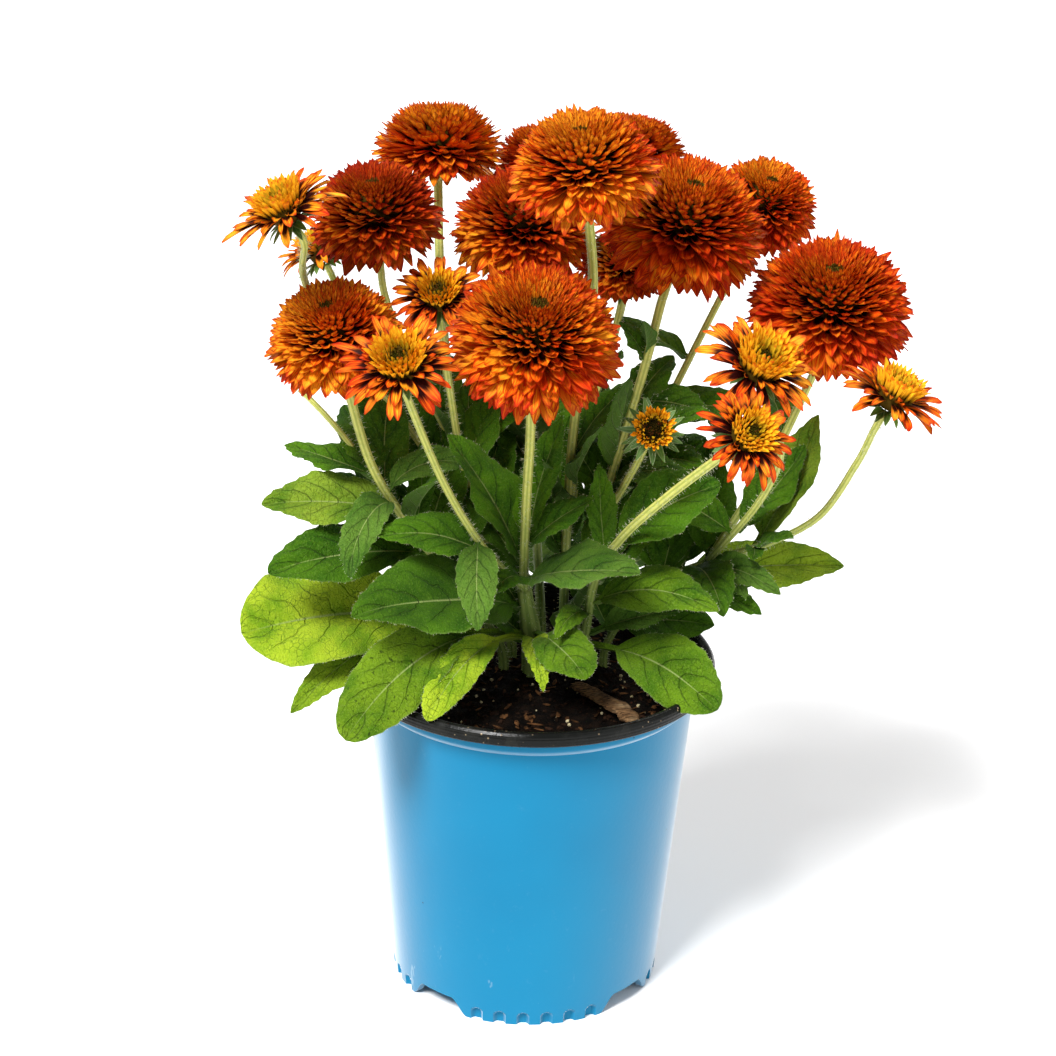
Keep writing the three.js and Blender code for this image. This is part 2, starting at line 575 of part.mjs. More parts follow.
function makeShoot(shoot) {
  const names = Object.keys(STEMS).filter((name) => STEMS[name].shoot === shoot);
  const pieces = names.map((name) => toSolid(stemGeometry(name)));
  for (const name of names) {
    const { bloom: id, bud } = STEMS[name];
    if (id) {
      const bloom = BLOOMS[id];
      const form = FORMS[bloom.kind];
      const { centre, turn } = bloomFrame(bloom);
      const [reach, sag] = bloom.kind === 'bud' ? [BUD_BRACT_REACH, 0] : [BRACT_REACH, BRACT_SAG];
      const bracts = bractGeometry(form.seat - 1, form.drop + GAP, reach, sag);
      bracts.applyQuaternion(turn).translate(...centre.toArray());
      pieces.push(toSolid(bracts));
    } else if (bud) {
      const end = stemCurve(name).getPoint(1);
      const bracts = bractGeometry(4, 0, GREEN_BUD_REACH, -3).translate(end.x, end.y, end.z + 2);
      pieces.push(toSolid(bracts));
    }
  }
  for (const leaf of LEAVES.filter(([stem]) => names.includes(stem))) {
    pieces.push(toSolid(leafGeometry(stemPointAtHeight(leaf[0], leaf[1]), leaf)));
  }
  const joined = pieces.reduce((whole, piece) => whole.add(piece));
  return makeMesh(`shoot_${shoot}`, toGeometry(joined), COLOURS.foliage);
}

// A strip of dead bark that lies on the soil near the front right of the rim.
const BARK_ROUTE = [[20, -14, 147], [30, -27, 147.5], [40, -40, 147.5], [46, -52, 147]];
const BARK_WIDTH = 9;
const BARK_THICKNESS = 3;
const BARK_STEPS = 4;

function barkGeometry(margin) {
  const [w, t] = [BARK_WIDTH / 2 + margin, BARK_THICKNESS / 2 + margin];
  const section = new THREE.Shape();
  section.moveTo(-t, -w);
  section.lineTo(t * 0.6, -w * 0.7);
  section.lineTo(t, w * 0.2);
  section.lineTo(t * 0.3, w);
  section.lineTo(-t, w * 0.6);
  const route = BARK_ROUTE.map((p) => new THREE.Vector3(...p));
  const curve = new THREE.CatmullRomCurve3(route, false, 'catmullrom', 0.5);
  return new THREE.ExtrudeGeometry(section, { steps: BARK_STEPS, bevelEnabled: false, extrudePath: curve });
}

function makeBark() {
  return makeMesh('bark_strip', toGeometry(toSolid(barkGeometry(0))), COLOURS.bark);
}

function soilSurface(x, y) {
  const radius = Math.hypot(x, y);
  const mound = SOIL_MOUND * Math.max(0, 1 - (radius / 60) ** 2);
  const rough = Math.sin(x * 0.21 + 1.3) * Math.cos(y * 0.17 - 0.4) + 0.5 * Math.sin(x * 0.4 - y * 0.33);
  return SOIL_HEIGHT + mound + SOIL_ROUGHNESS * rough;
}

function makeSoil() {
  const floor = FLOOR_HEIGHT + GAP;
  const rim = innerRadius(SOIL_HEIGHT) - 2 * GAP;
  const bottom = innerRadius(floor) - 2 - 2 * GAP;
  const profile = [
    [0, floor], [bottom, floor], [innerRadius(floor + 3) - 2 * GAP, floor + 3], [rim, SOIL_HEIGHT - 4],
    [rim, SOIL_HEIGHT], [SOIL_RING_RADIUS, SOIL_HEIGHT], [0, SOIL_HEIGHT]];
  const bare = latheAboutZ(profile, POT_SIDES).deleteAttribute('normal').deleteAttribute('uv');
  const geometry = mergeVertices(bare, 1e-4);
  const { position } = geometry.attributes;
  for (let i = 0; i < position.count; i += 1) {
    if (position.getZ(i) > SOIL_HEIGHT - 1) {
      position.setZ(i, soilSurface(position.getX(i), position.getY(i)));
    }
  }
  let soil = toSolid(geometry);
  for (const [name, { radius, route }] of Object.entries(STEMS)) {
    if (route[0][2] === STEM_FOOT) {
      const [x, y] = route[0];
      const wide = radius / Math.cos(Math.PI / STEM_SIDES) + 2 * GAP;
      const foot = new THREE.CylinderGeometry(wide, wide, 4, STEM_SIDES);
      foot.rotateX(Math.PI / 2).translate(x, y, STEM_FOOT - GAP + 2);
      soil = soil.subtract(toSolid(stemGeometry(name, 2 * GAP))).subtract(toSolid(foot));
    }
  }
  soil = soil.subtract(toSolid(barkGeometry(GAP)));
  return makeMesh('soil', toGeometry(soil), COLOURS.soil);
}

const plant = new THREE.Group();
plant.add(makePot(), makeSoil(), makeBark());
for (const shoot of new Set(Object.values(STEMS).map((stem) => stem.shoot))) {
  plant.add(makeShoot(shoot));
}
for (const [id, bloom] of Object.entries(BLOOMS)) {
  const { centre, turn } = bloomFrame(bloom);
  const head = new THREE.Group();
  head.position.copy(centre);
  head.quaternion.copy(turn);
  head.add(makeMesh(`bloom_${id}`, bloomGeometry(bloom, Number(id)), COLOURS.petal));
  const eyeLook = bloom.kind === 'dome' ? COLOURS.darkEye : COLOURS.paleEye;
  head.add(makeMesh(`eye_${id}`, eyeGeometry(bloom), eyeLook));
  plant.add(head);
}

export default plant;
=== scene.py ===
import math

import bpy
import numpy as np
from mathutils import Matrix, Vector


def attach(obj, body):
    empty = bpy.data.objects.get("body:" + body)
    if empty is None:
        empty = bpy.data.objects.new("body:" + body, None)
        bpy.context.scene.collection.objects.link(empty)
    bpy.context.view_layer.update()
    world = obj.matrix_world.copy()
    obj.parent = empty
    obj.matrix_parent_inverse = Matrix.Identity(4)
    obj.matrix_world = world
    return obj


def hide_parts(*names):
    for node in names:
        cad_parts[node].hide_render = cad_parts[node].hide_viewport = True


# Potted black-eyed susan. Places and sizes are in millimetres, and make() turns them into metres.
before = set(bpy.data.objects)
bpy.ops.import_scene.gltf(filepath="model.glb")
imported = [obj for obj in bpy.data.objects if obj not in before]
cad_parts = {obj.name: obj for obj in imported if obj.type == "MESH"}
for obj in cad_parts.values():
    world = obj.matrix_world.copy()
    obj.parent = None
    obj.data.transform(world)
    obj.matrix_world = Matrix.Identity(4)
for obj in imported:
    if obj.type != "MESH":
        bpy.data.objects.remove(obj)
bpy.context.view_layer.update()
MM = 0.001
UP = np.array([0.0, 0.0, 1.0])
GOLDEN_ANGLE = math.pi * (3 - math.sqrt(5))

# Pot
POT_HEIGHT = 156.0
RIM_RADIUS = 82.5
WALL = 1.6
BASE_RADIUS = 60.8
SHOULDER_RADIUS = 73.4
SHOULDER_HEIGHT = 141.6
COLLAR_RADIUS = 76.6
LIP_HEIGHT = 6.6
FLOOR_HEIGHT = 10.2
CENTRE_PAD_RADIUS = 16.0
FOOT_COUNT = 4
FOOT_PITCH = 360 / FOOT_COUNT
FIRST_ARCH_AZIMUTH = -130.0
ARCH_HALF_WIDTH = 16.6
ARCH_TOP_SHARE = 0.5
ARCH_HEIGHT = 8.2
FLUTES_PER_FOOT = 6
FLUTE_PITCH = 10.0
FLUTE_HALF_WIDTH = 2.7
FLUTE_HEIGHT = 6.4
FLUTE_DEPTH = 2.0
FOOT_THICKNESS = 3.4
# The rings next to the middle of the floor and of the soil's underside
HUB_RADIUS = 1.0
POT_COLUMNS = 540

# Soil
SOIL_HEIGHT = 143.0
SOIL_MOUND = 3.0
MOUND_REACH = 60
SOIL_RADIUS = 71.0
SOIL_BOTTOM = FLOOR_HEIGHT + 0.4
STEM_FOOT = 129.0

# Each bloom: kind, centre of its widest plane, radius, lean from upright and its azimuth,
# and its colour: how golden, how red and how dark it is. The darkness is partly the head's own
# deeper colour and partly painted shade, for heads that sit in shade at the back and among the others.
BLOOMS = {
    "01": ("dome", (-47, 80, 366), 30, 12, 92, (0.35, 0.0, 0.05)),
    "02": ("daisy", (-105, -50, 374), 24, 30, 205, (0.5, 0.0, 0.0)),
    "03": ("dome", (-71, 5, 357), 29, 13, -112, (0.0, 0.45, 0.25)),
    "04": ("dome", (-8, 35, 345), 32, 12, -86, (0.1, 0.2, 0.1)),
    "05": ("dome", (16, -50, 395), 31, 12, -125, (0.55, 0.0, 0.0)),
    "06": ("dome", (39, 62, 370), 26, 12, 40, (0.2, 0.3, 0.1)),
    "07": ("dome", (0, 112, 353), 24, 12, 100, (0.1, 0.3, 0.1)),
    "08": ("dome", (61, 10, 355), 36, 18, -55, (0.1, 0.25, 0.0)),
    "09": ("dome", (98, 60, 350), 25, 24, -60, (0.2, 0.1, 0.0)),
    "10": ("dome", (124, 0, 323), 36, 18, -90, (0.05, 0.3, 0.0)),
    "11": ("daisy", (90, -60, 315), 27, 33, -55, (0.45, 0.0, 0.0)),
    "12": ("daisy", (83, -108, 303), 21, 50, -60, (0.3, 0.3, 0.0)),
    "13": ("daisy", (147, -50, 300), 24, 24, -10, (0.4, 0.0, 0.0)),
    "14": ("bud", (48, -50, 283), 10, 62, -88, (0.4, 0.0, 0.0)),
    "15": ("dome", (-2, -60, 326), 36, 26, -80, (0.25, 0.2, 0.0)),
    "16": ("daisy", (-43, -16, 328), 20, 36, -92, (0.3, 0.2, 0.05)),
    "17": ("daisy", (-56, -85, 321), 25, 33, -100, (0.3, 0.2, 0.0)),
    "18": ("dome", (-86, -35, 316), 29, 20, -125, (0.5, 0.0, 0.0)),
    "19": ("dome", (36, 42, 326), 20, 15, -90, (0.3, 0.1, 0.2)),
    "21": ("daisy", (-99, 60, 324), 20, 25, 170, (1.0, 0.0, 0.0)),
}
# How far each kind of head reaches down from its widest plane to its bracts
SEATS = {"dome": 8, "daisy": 5, "bud": 4}

# Each stem: the shoot that it belongs to, its radius, its route, and the bloom on its end.
STEMS = {
    "centre": ("centre", 2.5, "15",
               [(0, 2, STEM_FOOT), (0, 2, 158), (-4, -6, 190), (-4, -26, 238), (-3, -44, 278)]),
    "centre_base": ("centre", 4.4, None, [(0, 2, STEM_FOOT), (0, 2, 158), (-4, -6, 190)]),
    "centre_low": ("centre", 2.0, "17", [(-4, -6, 190), (-14, -16, 204), (-26, -32, 226), (-40, -52, 260)]),
    "left": ("left", 2.5, "18",
             [(-14, 6, STEM_FOOT), (-14, 6, 156), (-34, -2, 188), (-58, -12, 226), (-72, -22, 256)]),
    "left_bud": ("left", 1.6, "green", [(-58, -12, 226), (-75, -6, 248), (-90, 2, 264), (-104, 9, 276)]),
    "back_left": ("back_left", 2.5, "01",
                  [(-10, 20, STEM_FOOT), (-10, 20, 158), (-22, 22, 200), (-36, 22, 245), (-44, 46, 310)]),
    "back_left_near": ("back_left", 2.0, "16", [(-22, 22, 200), (-32, 8, 240), (-38, -2, 280)]),
    "back_left_mid": ("back_left", 2.0, "03", [(-36, 22, 245), (-56, 14, 288), (-67, 12, 318)]),
    "back_left_out": ("back_left", 2.0, "02",
                      [(-22, 22, 200), (-60, 14, 262), (-90, 8, 300), (-100, -14, 334)]),
    "back_left_far": ("back_left", 2.0, "21", [(-60, 14, 262), (-80, 38, 288)]),
    "back": ("back", 2.5, "04",
             [(4, 24, STEM_FOOT), (4, 24, 158), (0, 34, 210), (-6, 42, 270), (-9, 44, 302)]),
    "back_far": ("back", 2.0, "07", [(0, 34, 210), (2, 66, 270), (0, 100, 320)]),
    "middle": ("middle", 2.5, "05",
               [(14, 12, STEM_FOOT), (14, 12, 158), (14, 8, 210), (16, 2, 266), (22, -12, 325)]),
    "middle_far": ("middle", 2.0, "06", [(14, 8, 210), (24, 44, 250), (38, 74, 300), (40, 72, 330)]),
    "middle_low": ("middle", 2.0, "19", [(14, 8, 210), (20, 26, 250), (30, 40, 280)]),
    "back_right": ("back_right", 2.5, "08",
                   [(20, 30, STEM_FOOT), (20, 30, 158), (26, 18, 205), (36, 4, 252), (46, 2, 294),
                    (52, 8, 320)]),
    "back_right_far": ("back_right", 2.0, "09", [(26, 18, 205), (44, 20, 240), (62, 32, 276), (80, 52, 308)]),
    "back_right_bud": ("back_right", 2.0, "14", [(26, 18, 205), (34, -2, 230), (43, -20, 256)]),
    "front_right": ("front_right", 2.5, "12",
                    [(23, -2, STEM_FOOT), (23, -2, 156), (27, -16, 200), (38, -38, 230), (56, -64, 260)]),
    "right": ("right", 2.0, "13",
              [(34, 13, STEM_FOOT), (34, 13, 156), (54, 18, 182), (78, 16, 196), (104, 6, 210),
               (124, -10, 230), (136, -30, 262)]),
    "right_near": ("right", 2.0, "11", [(78, 16, 196), (98, -8, 236), (103, -34, 272)]),
    "right_high": ("right", 2.3, "10", [(78, 16, 196), (104, 26, 240), (120, 26, 280)]),
}

# Leaves by stem. Each: the height where it leaves its stem, azimuth, length, width, rise at its foot, droop
# along it, the part of its length that is bare stalk, and its colour in LEAF_TONES.
LEAVES = [
    ("centre", [(179, -139, 102, 42, 31, 36, 0.12, "dark")]),
    ("centre_low", [(214, -160, 54, 21, 31, 30, 0.08, "green"), (223, -88, 44, 18, -15, 60, 0.08, "grey")]),
    ("centre", [
        (204, -168, 72, 29, 66, 10, 0.08, "green"), (195, -115, 32, 16, 41, 60, 0.1, "green"),
        (195, -49, 80, 29, 32, 22, 0.08, "grey"), (212, 40, 62, 20, 74, 5, 0.1, "green"),
        (214, -18, 42, 16, 52, 20, 0.1, "green"), (172, 175, 48, 22, 60, 20, 0.1, "dark"),
        (164, -135, 120, 32, 30, 76, 0.35, "spotted"), (162, -121, 92, 18, 34, 76, 0.35, "yellow"),
        (160, -84, 58, 12, 46, 90, 0.2, "yellow"), (166, -66, 62, 24, 28, 50, 0.3, "lime"),
    ]),
    ("left", [
        (247, 145, 52, 18, 10, 15, 0.1, "green"), (229, -173, 60, 26, 15, 22, 0.08, "pale"),
        (206, -153, 78, 28, 19, 32, 0.1, "green"), (233, -118, 52, 17, 30, 125, 0.06, "grey"),
        (245, 112, 52, 22, 25, 10, 0.1, "green"), (225, 140, 44, 18, 17, 10, 0.1, "green"),
        (216, 74, 42, 12, 80, 0, 0.1, "green"), (222, -60, 46, 16, 62, 30, 0.1, "green"),
        (238, 5, 46, 14, 66, 100, 0.1, "grey"), (162, -160, 120, 54, 25, 34, 0.38, "yellow"),
        (161, -149, 110, 22, 25, 66, 0.3, "bright"),
    ]),
    ("back_left", [
        (172, 155, 86, 32, 24, 40, 0.3, "green"), (190, 115, 78, 28, 34, 40, 0.1, "green"),
        (205, -165, 66, 26, 58, 20, 0.1, "dark"), (228, 160, 60, 22, 35, 30, 0.08, "green"),
        (242, -120, 40, 16, 66, 20, 0.1, "green"), (262, 120, 44, 17, 40, 30, 0.08, "green"),
    ]),
    ("back_left_out", [(255, 170, 46, 18, 45, 25, 0.08, "green")]),
    ("back_left_near", [(235, 90, 46, 24, 60, 10, 0.1, "dark")]),
    ("back", [
        (166, 92, 90, 32, 22, 40, 0.3, "lime"), (196, 118, 70, 26, 42, 35, 0.08, "green"),
        (222, 65, 60, 22, 40, 35, 0.08, "green"), (232, -100, 46, 20, 70, 20, 0.08, "dark"),
    ]),
    ("back_far", [(250, 105, 44, 18, 30, 35, 0.08, "green")]),
    ("back", [(230, 160, 46, 24, 60, 10, 0.1, "dark")]),
    ("middle", [(236, -52, 40, 16, 68, 20, 0.08, "dark"), (196, -165, 52, 20, 70, 10, 0.08, "dark")]),
    ("middle_far", [(240, -20, 46, 20, 60, 10, 0.1, "dark")]),
    ("back_right", [
        (240, -66, 52, 17, 77, 5, 0.1, "green"), (272, 42, 32, 19, 50, 20, 0.1, "dark"),
        (276, 12, 38, 16, 10, 50, 0.1, "dark"), (253, -28, 50, 18, 42, 20, 0.1, "green"),
        (234, -46, 52, 16, 42, 40, 0.1, "grey"), (214, -5, 62, 26, 55, 25, 0.1, "green"),
        (200, -60, 52, 22, 64, 25, 0.1, "dark"), (295, 187, 22, 11, 66, 20, 0.1, "dark"),
        (300, -110, 18, 8, 67, 10, 0.1, "dark"), (166, 50, 92, 32, 22, 40, 0.3, "green"),
        (186, 75, 72, 26, 36, 40, 0.08, "green"),
    ]),
    ("back_right_far", [(232, 40, 50, 19, 30, 35, 0.08, "green"), (262, 40, 40, 17, 15, 35, 0.08, "green")]),
    ("front_right", [
        (222, 2, 54, 30, 44, 20, 0.08, "green"), (213, 110, 42, 14, 80, 10, 0.1, "green"),
        (186, -32, 68, 24, 36, 50, 0.1, "lime"), (163, -40, 77, 31, 13, 38, 0.25, "lime"),
        (178, -118, 34, 11, 52, 100, 0.1, "lime"), (168, -18, 50, 14, 34, 20, 0.2, "grey"),
        (196, 20, 58, 24, 50, 25, 0.1, "green"),
    ]),
    ("right", [
        (193, -76, 48, 22, 24, 60, 0.1, "dark"), (197, -58, 30, 10, 12, 60, 0.1, "grey"),
        (189, 12, 79, 24, 6, 14, 0.1, "bright"), (192, -41, 52, 15, 23, 40, 0.1, "grey"),
        (184, -28, 52, 17, 12, 32, 0.1, "green"),
    ]),
    ("right_near", [(215, 20, 50, 24, 40, -20, 0.1, "green")]),
    ("right", [
        (206, 28, 66, 26, 58, -10, 0.1, "pale"), (206, -50, 28, 11, 44, 30, 0.08, "green"),
        (206, -95, 18, 9, 20, 30, 0.08, "green"), (184, 110, 66, 25, 62, 25, 0.1, "green"),
        (168, 30, 84, 28, 20, 35, 0.2, "green"),
    ]),
    ("right_high", [(226, 60, 46, 18, 30, 35, 0.08, "green"), (252, 100, 34, 15, 40, 40, 0.08, "green")]),
    ("right", [(190, 60, 46, 24, 60, 10, 0.1, "green")]),
]
# Smaller leaves that fill the middle of the plant: the same, without the stalk. Most carry the dark
# tone, painted shade for the middle of the plant.
INNER_LEAVES = [
    ("centre", [(200, 150, 46, 22, 50, 10, "dark"), (160, 200, 46, 22, 50, 20, "dark")]),
    ("left", [
        (240, 90, 50, 22, 50, 10, "dark"), (210, 60, 50, 24, 60, 10, "dark"),
        (200, 20, 50, 24, 60, 10, "dark"), (185, 120, 60, 26, 40, 30, "dark"),
        (200, 150, 60, 26, 50, 20, "dark"), (190, 165, 60, 26, 40, 20, "dark"),
    ]),
    ("back_left", [
        (248, 10, 38, 16, 35, 20, "green"), (215, 60, 50, 24, 60, 10, "dark"),
        (190, 80, 60, 26, 60, 10, "dark"),
    ]),
    ("back_left_near", [(236, 60, 42, 20, 60, 10, "dark")]),
    ("back_left_mid", [(262, 90, 40, 20, 40, 20, "dark")]),
    ("back_left_out", [(235, 120, 46, 20, 50, 20, "dark")]),
    ("back", [
        (225, 10, 44, 20, 60, 10, "dark"), (250, -170, 44, 18, 25, 30, "green"),
        (205, 20, 60, 28, 60, 10, "dark"), (240, 60, 44, 22, 50, 20, "dark"),
    ]),
    ("middle", [
        (250, 20, 40, 18, 60, 20, "dark"), (200, 120, 60, 26, 65, 10, "dark"),
        (215, -120, 44, 20, 65, 10, "dark"),
    ]),
    ("middle_low", [(250, 0, 32, 16, 40, 20, "green")]),
    ("middle_far", [(262, -60, 32, 16, 60, 10, "dark"), (245, 90, 46, 20, 40, 20, "dark")]),
    ("middle", [(160, -60, 50, 24, 60, 10, "dark")]),
    ("back_right", [
        (228, 170, 36, 17, 60, 10, "dark"), (222, -10, 42, 20, 66, 10, "dark"),
        (205, 60, 60, 26, 55, 20, "dark"), (245, 60, 46, 20, 40, 20, "dark"),
    ]),
    ("back_right_far", [
        (262, -20, 42, 20, 30, 40, "green"), (240, -40, 40, 18, 30, 30, "green"),
        (285, 160, 40, 14, 30, 20, "green"),
    ]),
    ("front_right", [(200, 70, 50, 22, 60, 20, "dark")]),
    ("right", [
        (196, 95, 56, 24, 66, 10, "dark"), (185, 70, 60, 24, 66, 10, "dark"),
        (180, 40, 50, 22, 55, 20, "dark"),
    ]),
    ("right_near", [(214, 170, 46, 20, 40, 20, "green")]),
    ("right_high", [(232, 150, 40, 18, 50, 10, "dark")]),
    ("right", [(160, 150, 50, 24, 60, 10, "dark"), (165, -10, 44, 26, 15, 20, "green")]),
]
LEAF_FOLD = 0.38
# Degrees that a leaf rolls towards the front: leaves on the front of the plant, and those on its back
FRONT_TURN = 42.0
BACK_TURN = 12.0
LEAF_GRID = (38, 11)
INNER_LEAF_GRID = (20, 9)
INNER_STALK = 0.08
SIDE_VEINS = 5
VEIN_BOW = 0.38
TOOTH_PITCH = 6.0
TOOTH_DEPTH = 1.1
EDGE_HAIRS_PER_MM = 0.6
FINE_HAIR = 0.07
STEM_HAIR = 0.1

# Yellowing, greying and darkening of each leaf colour. The darkening is painted shade, for leaves
# deep in the plant or under others; on the spotted leaf it also lets the spots show.
LEAF_TONES = {
    "green": (0.0, 0.0, 0.0), "yellow": (0.85, 0.0, 0.0), "lime": (0.14, 0.0, 0.0), "bright": (0.5, 0.0, 0.0),
    "grey": (0.0, 0.7, 0.0), "pale": (0.35, 0.9, 0.0), "dark": (0.0, 0.0, 0.5), "spotted": (0.24, 0.0, 0.1),
}
# Broad-ended leaves, by stem and height, and how blunt each is
BLUNT_LEAVES = {
    ("left", 162): 0.75, ("left", 206): 0.6, ("left", 229): 0.2, ("centre", 162): 0.8, ("centre", 164): 1.0,
    ("centre", 166): 0.7, ("front_right", 163): 0.7, ("front_right", 222): 0.4, ("right", 189): 0.1,
}


# Mesh building
class Shape:
    """Collects points, faces and values on the points, and becomes one piece of the scene."""

    def __init__(self):
        self.points, self.quads, self.tris = [], [], []
        self.values, self.count = {}, 0

    def add(self, points, quads=(), tris=(), **values):
        points = np.asarray(points, float).reshape(-1, 3)
        self.points.append(points)
        for faces, new in ((self.quads, quads), (self.tris, tris)):
            if len(new):
                faces.append(np.asarray(new) + self.count)
        for name, value in values.items():
            value = np.asarray(value, float)
            self.values.setdefault(name, []).append(np.broadcast_to(value, (len(points), *value.shape[1:])))
        self.count += len(points)

    def make(self, name, slot, materials, sharp=60.0, replaces=None, face_slots=None):
        points = np.concatenate(self.points) * MM
        quads = np.concatenate([np.zeros((0, 4), int), *self.quads])
        tris = np.concatenate([np.zeros((0, 3), int), *self.tris])
        mesh = bpy.data.meshes.new(name)
        mesh.vertices.add(len(points))
        mesh.vertices.foreach_set("co", points.astype(np.float32).ravel())
        loops = np.concatenate([quads.ravel(), tris.ravel()]).astype(np.int32)
        mesh.loops.add(len(loops))
        mesh.loops.foreach_set("vertex_index", loops)
        starts = np.concatenate([np.arange(len(quads)) * 4, len(quads) * 4 + np.arange(len(tris)) * 3])
        mesh.polygons.add(len(starts))
        mesh.polygons.foreach_set("loop_start", starts.astype(np.int32))
        mesh.update(calc_edges=True)
        for key, parts in self.values.items():
            data = np.concatenate(parts).astype(np.float32)
            kind, field = ("FLOAT_VECTOR", "vector") if data.ndim == 2 else ("FLOAT", "value")
            mesh.attributes.new(key, kind, "POINT").data.foreach_set(field, data.ravel())
        mesh.shade_smooth()
        if sharp is not None:
            mesh.set_sharp_from_angle(angle=math.radians(sharp))
        for material in materials:
            mesh.materials.append(material)
        if face_slots is not None:
            mesh.polygons.foreach_set("material_index", face_slots.astype(np.int32))
        piece = bpy.data.objects.new(name, mesh)
        bpy.context.scene.collection.objects.link(piece)
        if replaces:
            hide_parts(replaces)
        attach(piece, "root")


def grid_quads(ids, flip=False):
    a, b, c, d = ids[:-1, :-1], ids[1:, :-1], ids[1:, 1:], ids[:-1, 1:]
    return np.stack((a, d, c, b) if flip else (a, b, c, d), -1).reshape(-1, 4)


def copies(faces, count, each):
    """The faces of many like bodies that have this many points each."""
    return (faces[None] + (np.arange(count) * each)[:, None, None]).reshape(-1, faces.shape[1])


def fan(middle, ring, flip=False):
    """Triangles from a middle point to every side of a ring, given as point numbers."""
    a, b = (ring[1:], ring[:-1]) if flip else (ring[:-1], ring[1:])
    return np.stack([np.full(len(a), middle), a, b], -1)


def ring_ids(rows, columns):
    """Point numbers of rings, with each ring's first point again at its end."""
    ids = np.arange(rows * columns).reshape(rows, columns)
    return np.concatenate([ids, ids[:, :1]], 1)


def add_rings(shape, rings, ends, flip=True, **values):
    """Adds a closed surface through rings, (rows, columns, 3), with a middle point at each end."""
    ids = ring_ids(*rings.shape[:2])
    last = rings.shape[0] * rings.shape[1]
    tris = np.concatenate([fan(last, ids[0], flip), fan(last + 1, ids[-1], not flip)])
    shape.add(np.vstack([rings.reshape(-1, 3), *ends]), grid_quads(ids, flip), tris, **values)


def both_faces(upper, lower):
    """Values on whole upper grids and on the insides of lower grids, blade by blade."""
    blades, rest = len(upper), upper.shape[3:]
    parts = [upper.reshape(blades, -1, *rest), lower[:, 1:-1, 1:-1].reshape(blades, -1, *rest)]
    return np.concatenate(parts, 1).reshape(-1, *rest)


def add_sheets(shape, upper, lower, **values):
    """Adds thin closed blades. Both faces are (blades, rows, columns, 3), and they share their border."""
    blades, rows, columns = upper.shape[:3]
    points = both_faces(upper, lower)
    top = np.arange(rows * columns).reshape(rows, columns)
    under = top.copy()
    under[1:-1, 1:-1] = np.arange(rows * columns, len(points) // blades).reshape(rows - 2, columns - 2)
    quads = np.concatenate([grid_quads(top), grid_quads(under, flip=True)])
    quads = copies(quads, blades, len(points) // blades)
    for name, value in values.items():
        value = np.broadcast_to(value, (blades, rows, columns, *np.shape(value)[3:]))
        values[name] = both_faces(value, value)
    face = both_faces(np.ones(upper.shape[:3]), np.zeros(upper.shape[:3]))
    shape.add(points, quads, **values, face=face)


def heading(azimuth):
    return np.array([math.cos(math.radians(azimuth)), math.sin(math.radians(azimuth)), 0.0])


def polar(radius, turn, height):
    """Points at a radius, a turn in radians and a height."""
    return np.stack(np.broadcast_arrays(radius * np.cos(turn), radius * np.sin(turn), height), -1)


def even_turns(count):
    return np.arange(count) / count * 2 * np.pi


def spiral(count):
    """Turns, and shares of the radius, of points that fill a disc as florets do."""
    number = np.arange(count)
    return number * GOLDEN_ANGLE, np.sqrt((number + 0.5) / count)


def smooth(low, high, value):
    t = np.clip((value - low) / (high - low), 0, 1)
    return t * t * (3 - 2 * t)


def running_sum(values, step):
    """Trapezium sums along axis 1, from 0."""
    middles = (values[:, 1:] + values[:, :-1]) / 2 * step
    return np.concatenate([np.zeros_like(middles[:, :1]), np.cumsum(middles, 1)], 1)


def curve_points(route, per_span=14):
    """Catmull-Rom curve of tension 0.5 through the route's points."""
    p = np.array(route, float)
    p = np.vstack([2 * p[0] - p[1], p, 2 * p[-1] - p[-2]])
    out = []
    for i in range(1, len(p) - 2):
        t = np.linspace(0, 1, per_span, endpoint=False)[:, None]
        t0, t1 = 0.5 * (p[i + 1] - p[i - 1]), 0.5 * (p[i + 2] - p[i])
        c2 = -3 * p[i] + 3 * p[i + 1] - 2 * t0 - t1
        c3 = 2 * p[i] - 2 * p[i + 1] + t0 + t1
        out.append(p[i] + t0 * t + c2 * t * t + c3 * t ** 3)
    return np.vstack([*out, p[-2]])


def bloom_turn(lean, towards):
    """Rotation that takes +Z to the bloom's axis, and that axis."""
    axis = heading(towards) * math.sin(math.radians(lean))
    axis[2] = math.cos(math.radians(lean))
    v = np.cross(UP, axis)
    k = np.array([[0, -v[2], v[1]], [v[2], 0, -v[0]], [-v[1], v[0], 0]])
    return np.eye(3) + k + k @ k / (1 + axis[2]), axis


# Petals, florets and bracts, in the bloom's own frame
PETAL_TWIST = 0.22
PETAL_RIPPLE = 0.05


def petal_width(u, waist, widest, blunt):
    """Half width along a petal, from its narrow claw to its tip, as a part of its greatest half width."""
    rise = waist + (1 - waist) * np.sin(0.5 * np.pi * np.clip(u / widest, 0, 1)) ** 1.4
    fall = np.clip((u - widest) / (1 - widest), 0, 1)
    return rise * np.maximum(0.04, 1 - fall ** (1.7 + 1.6 * blunt)) ** (0.8 - 0.35 * blunt)


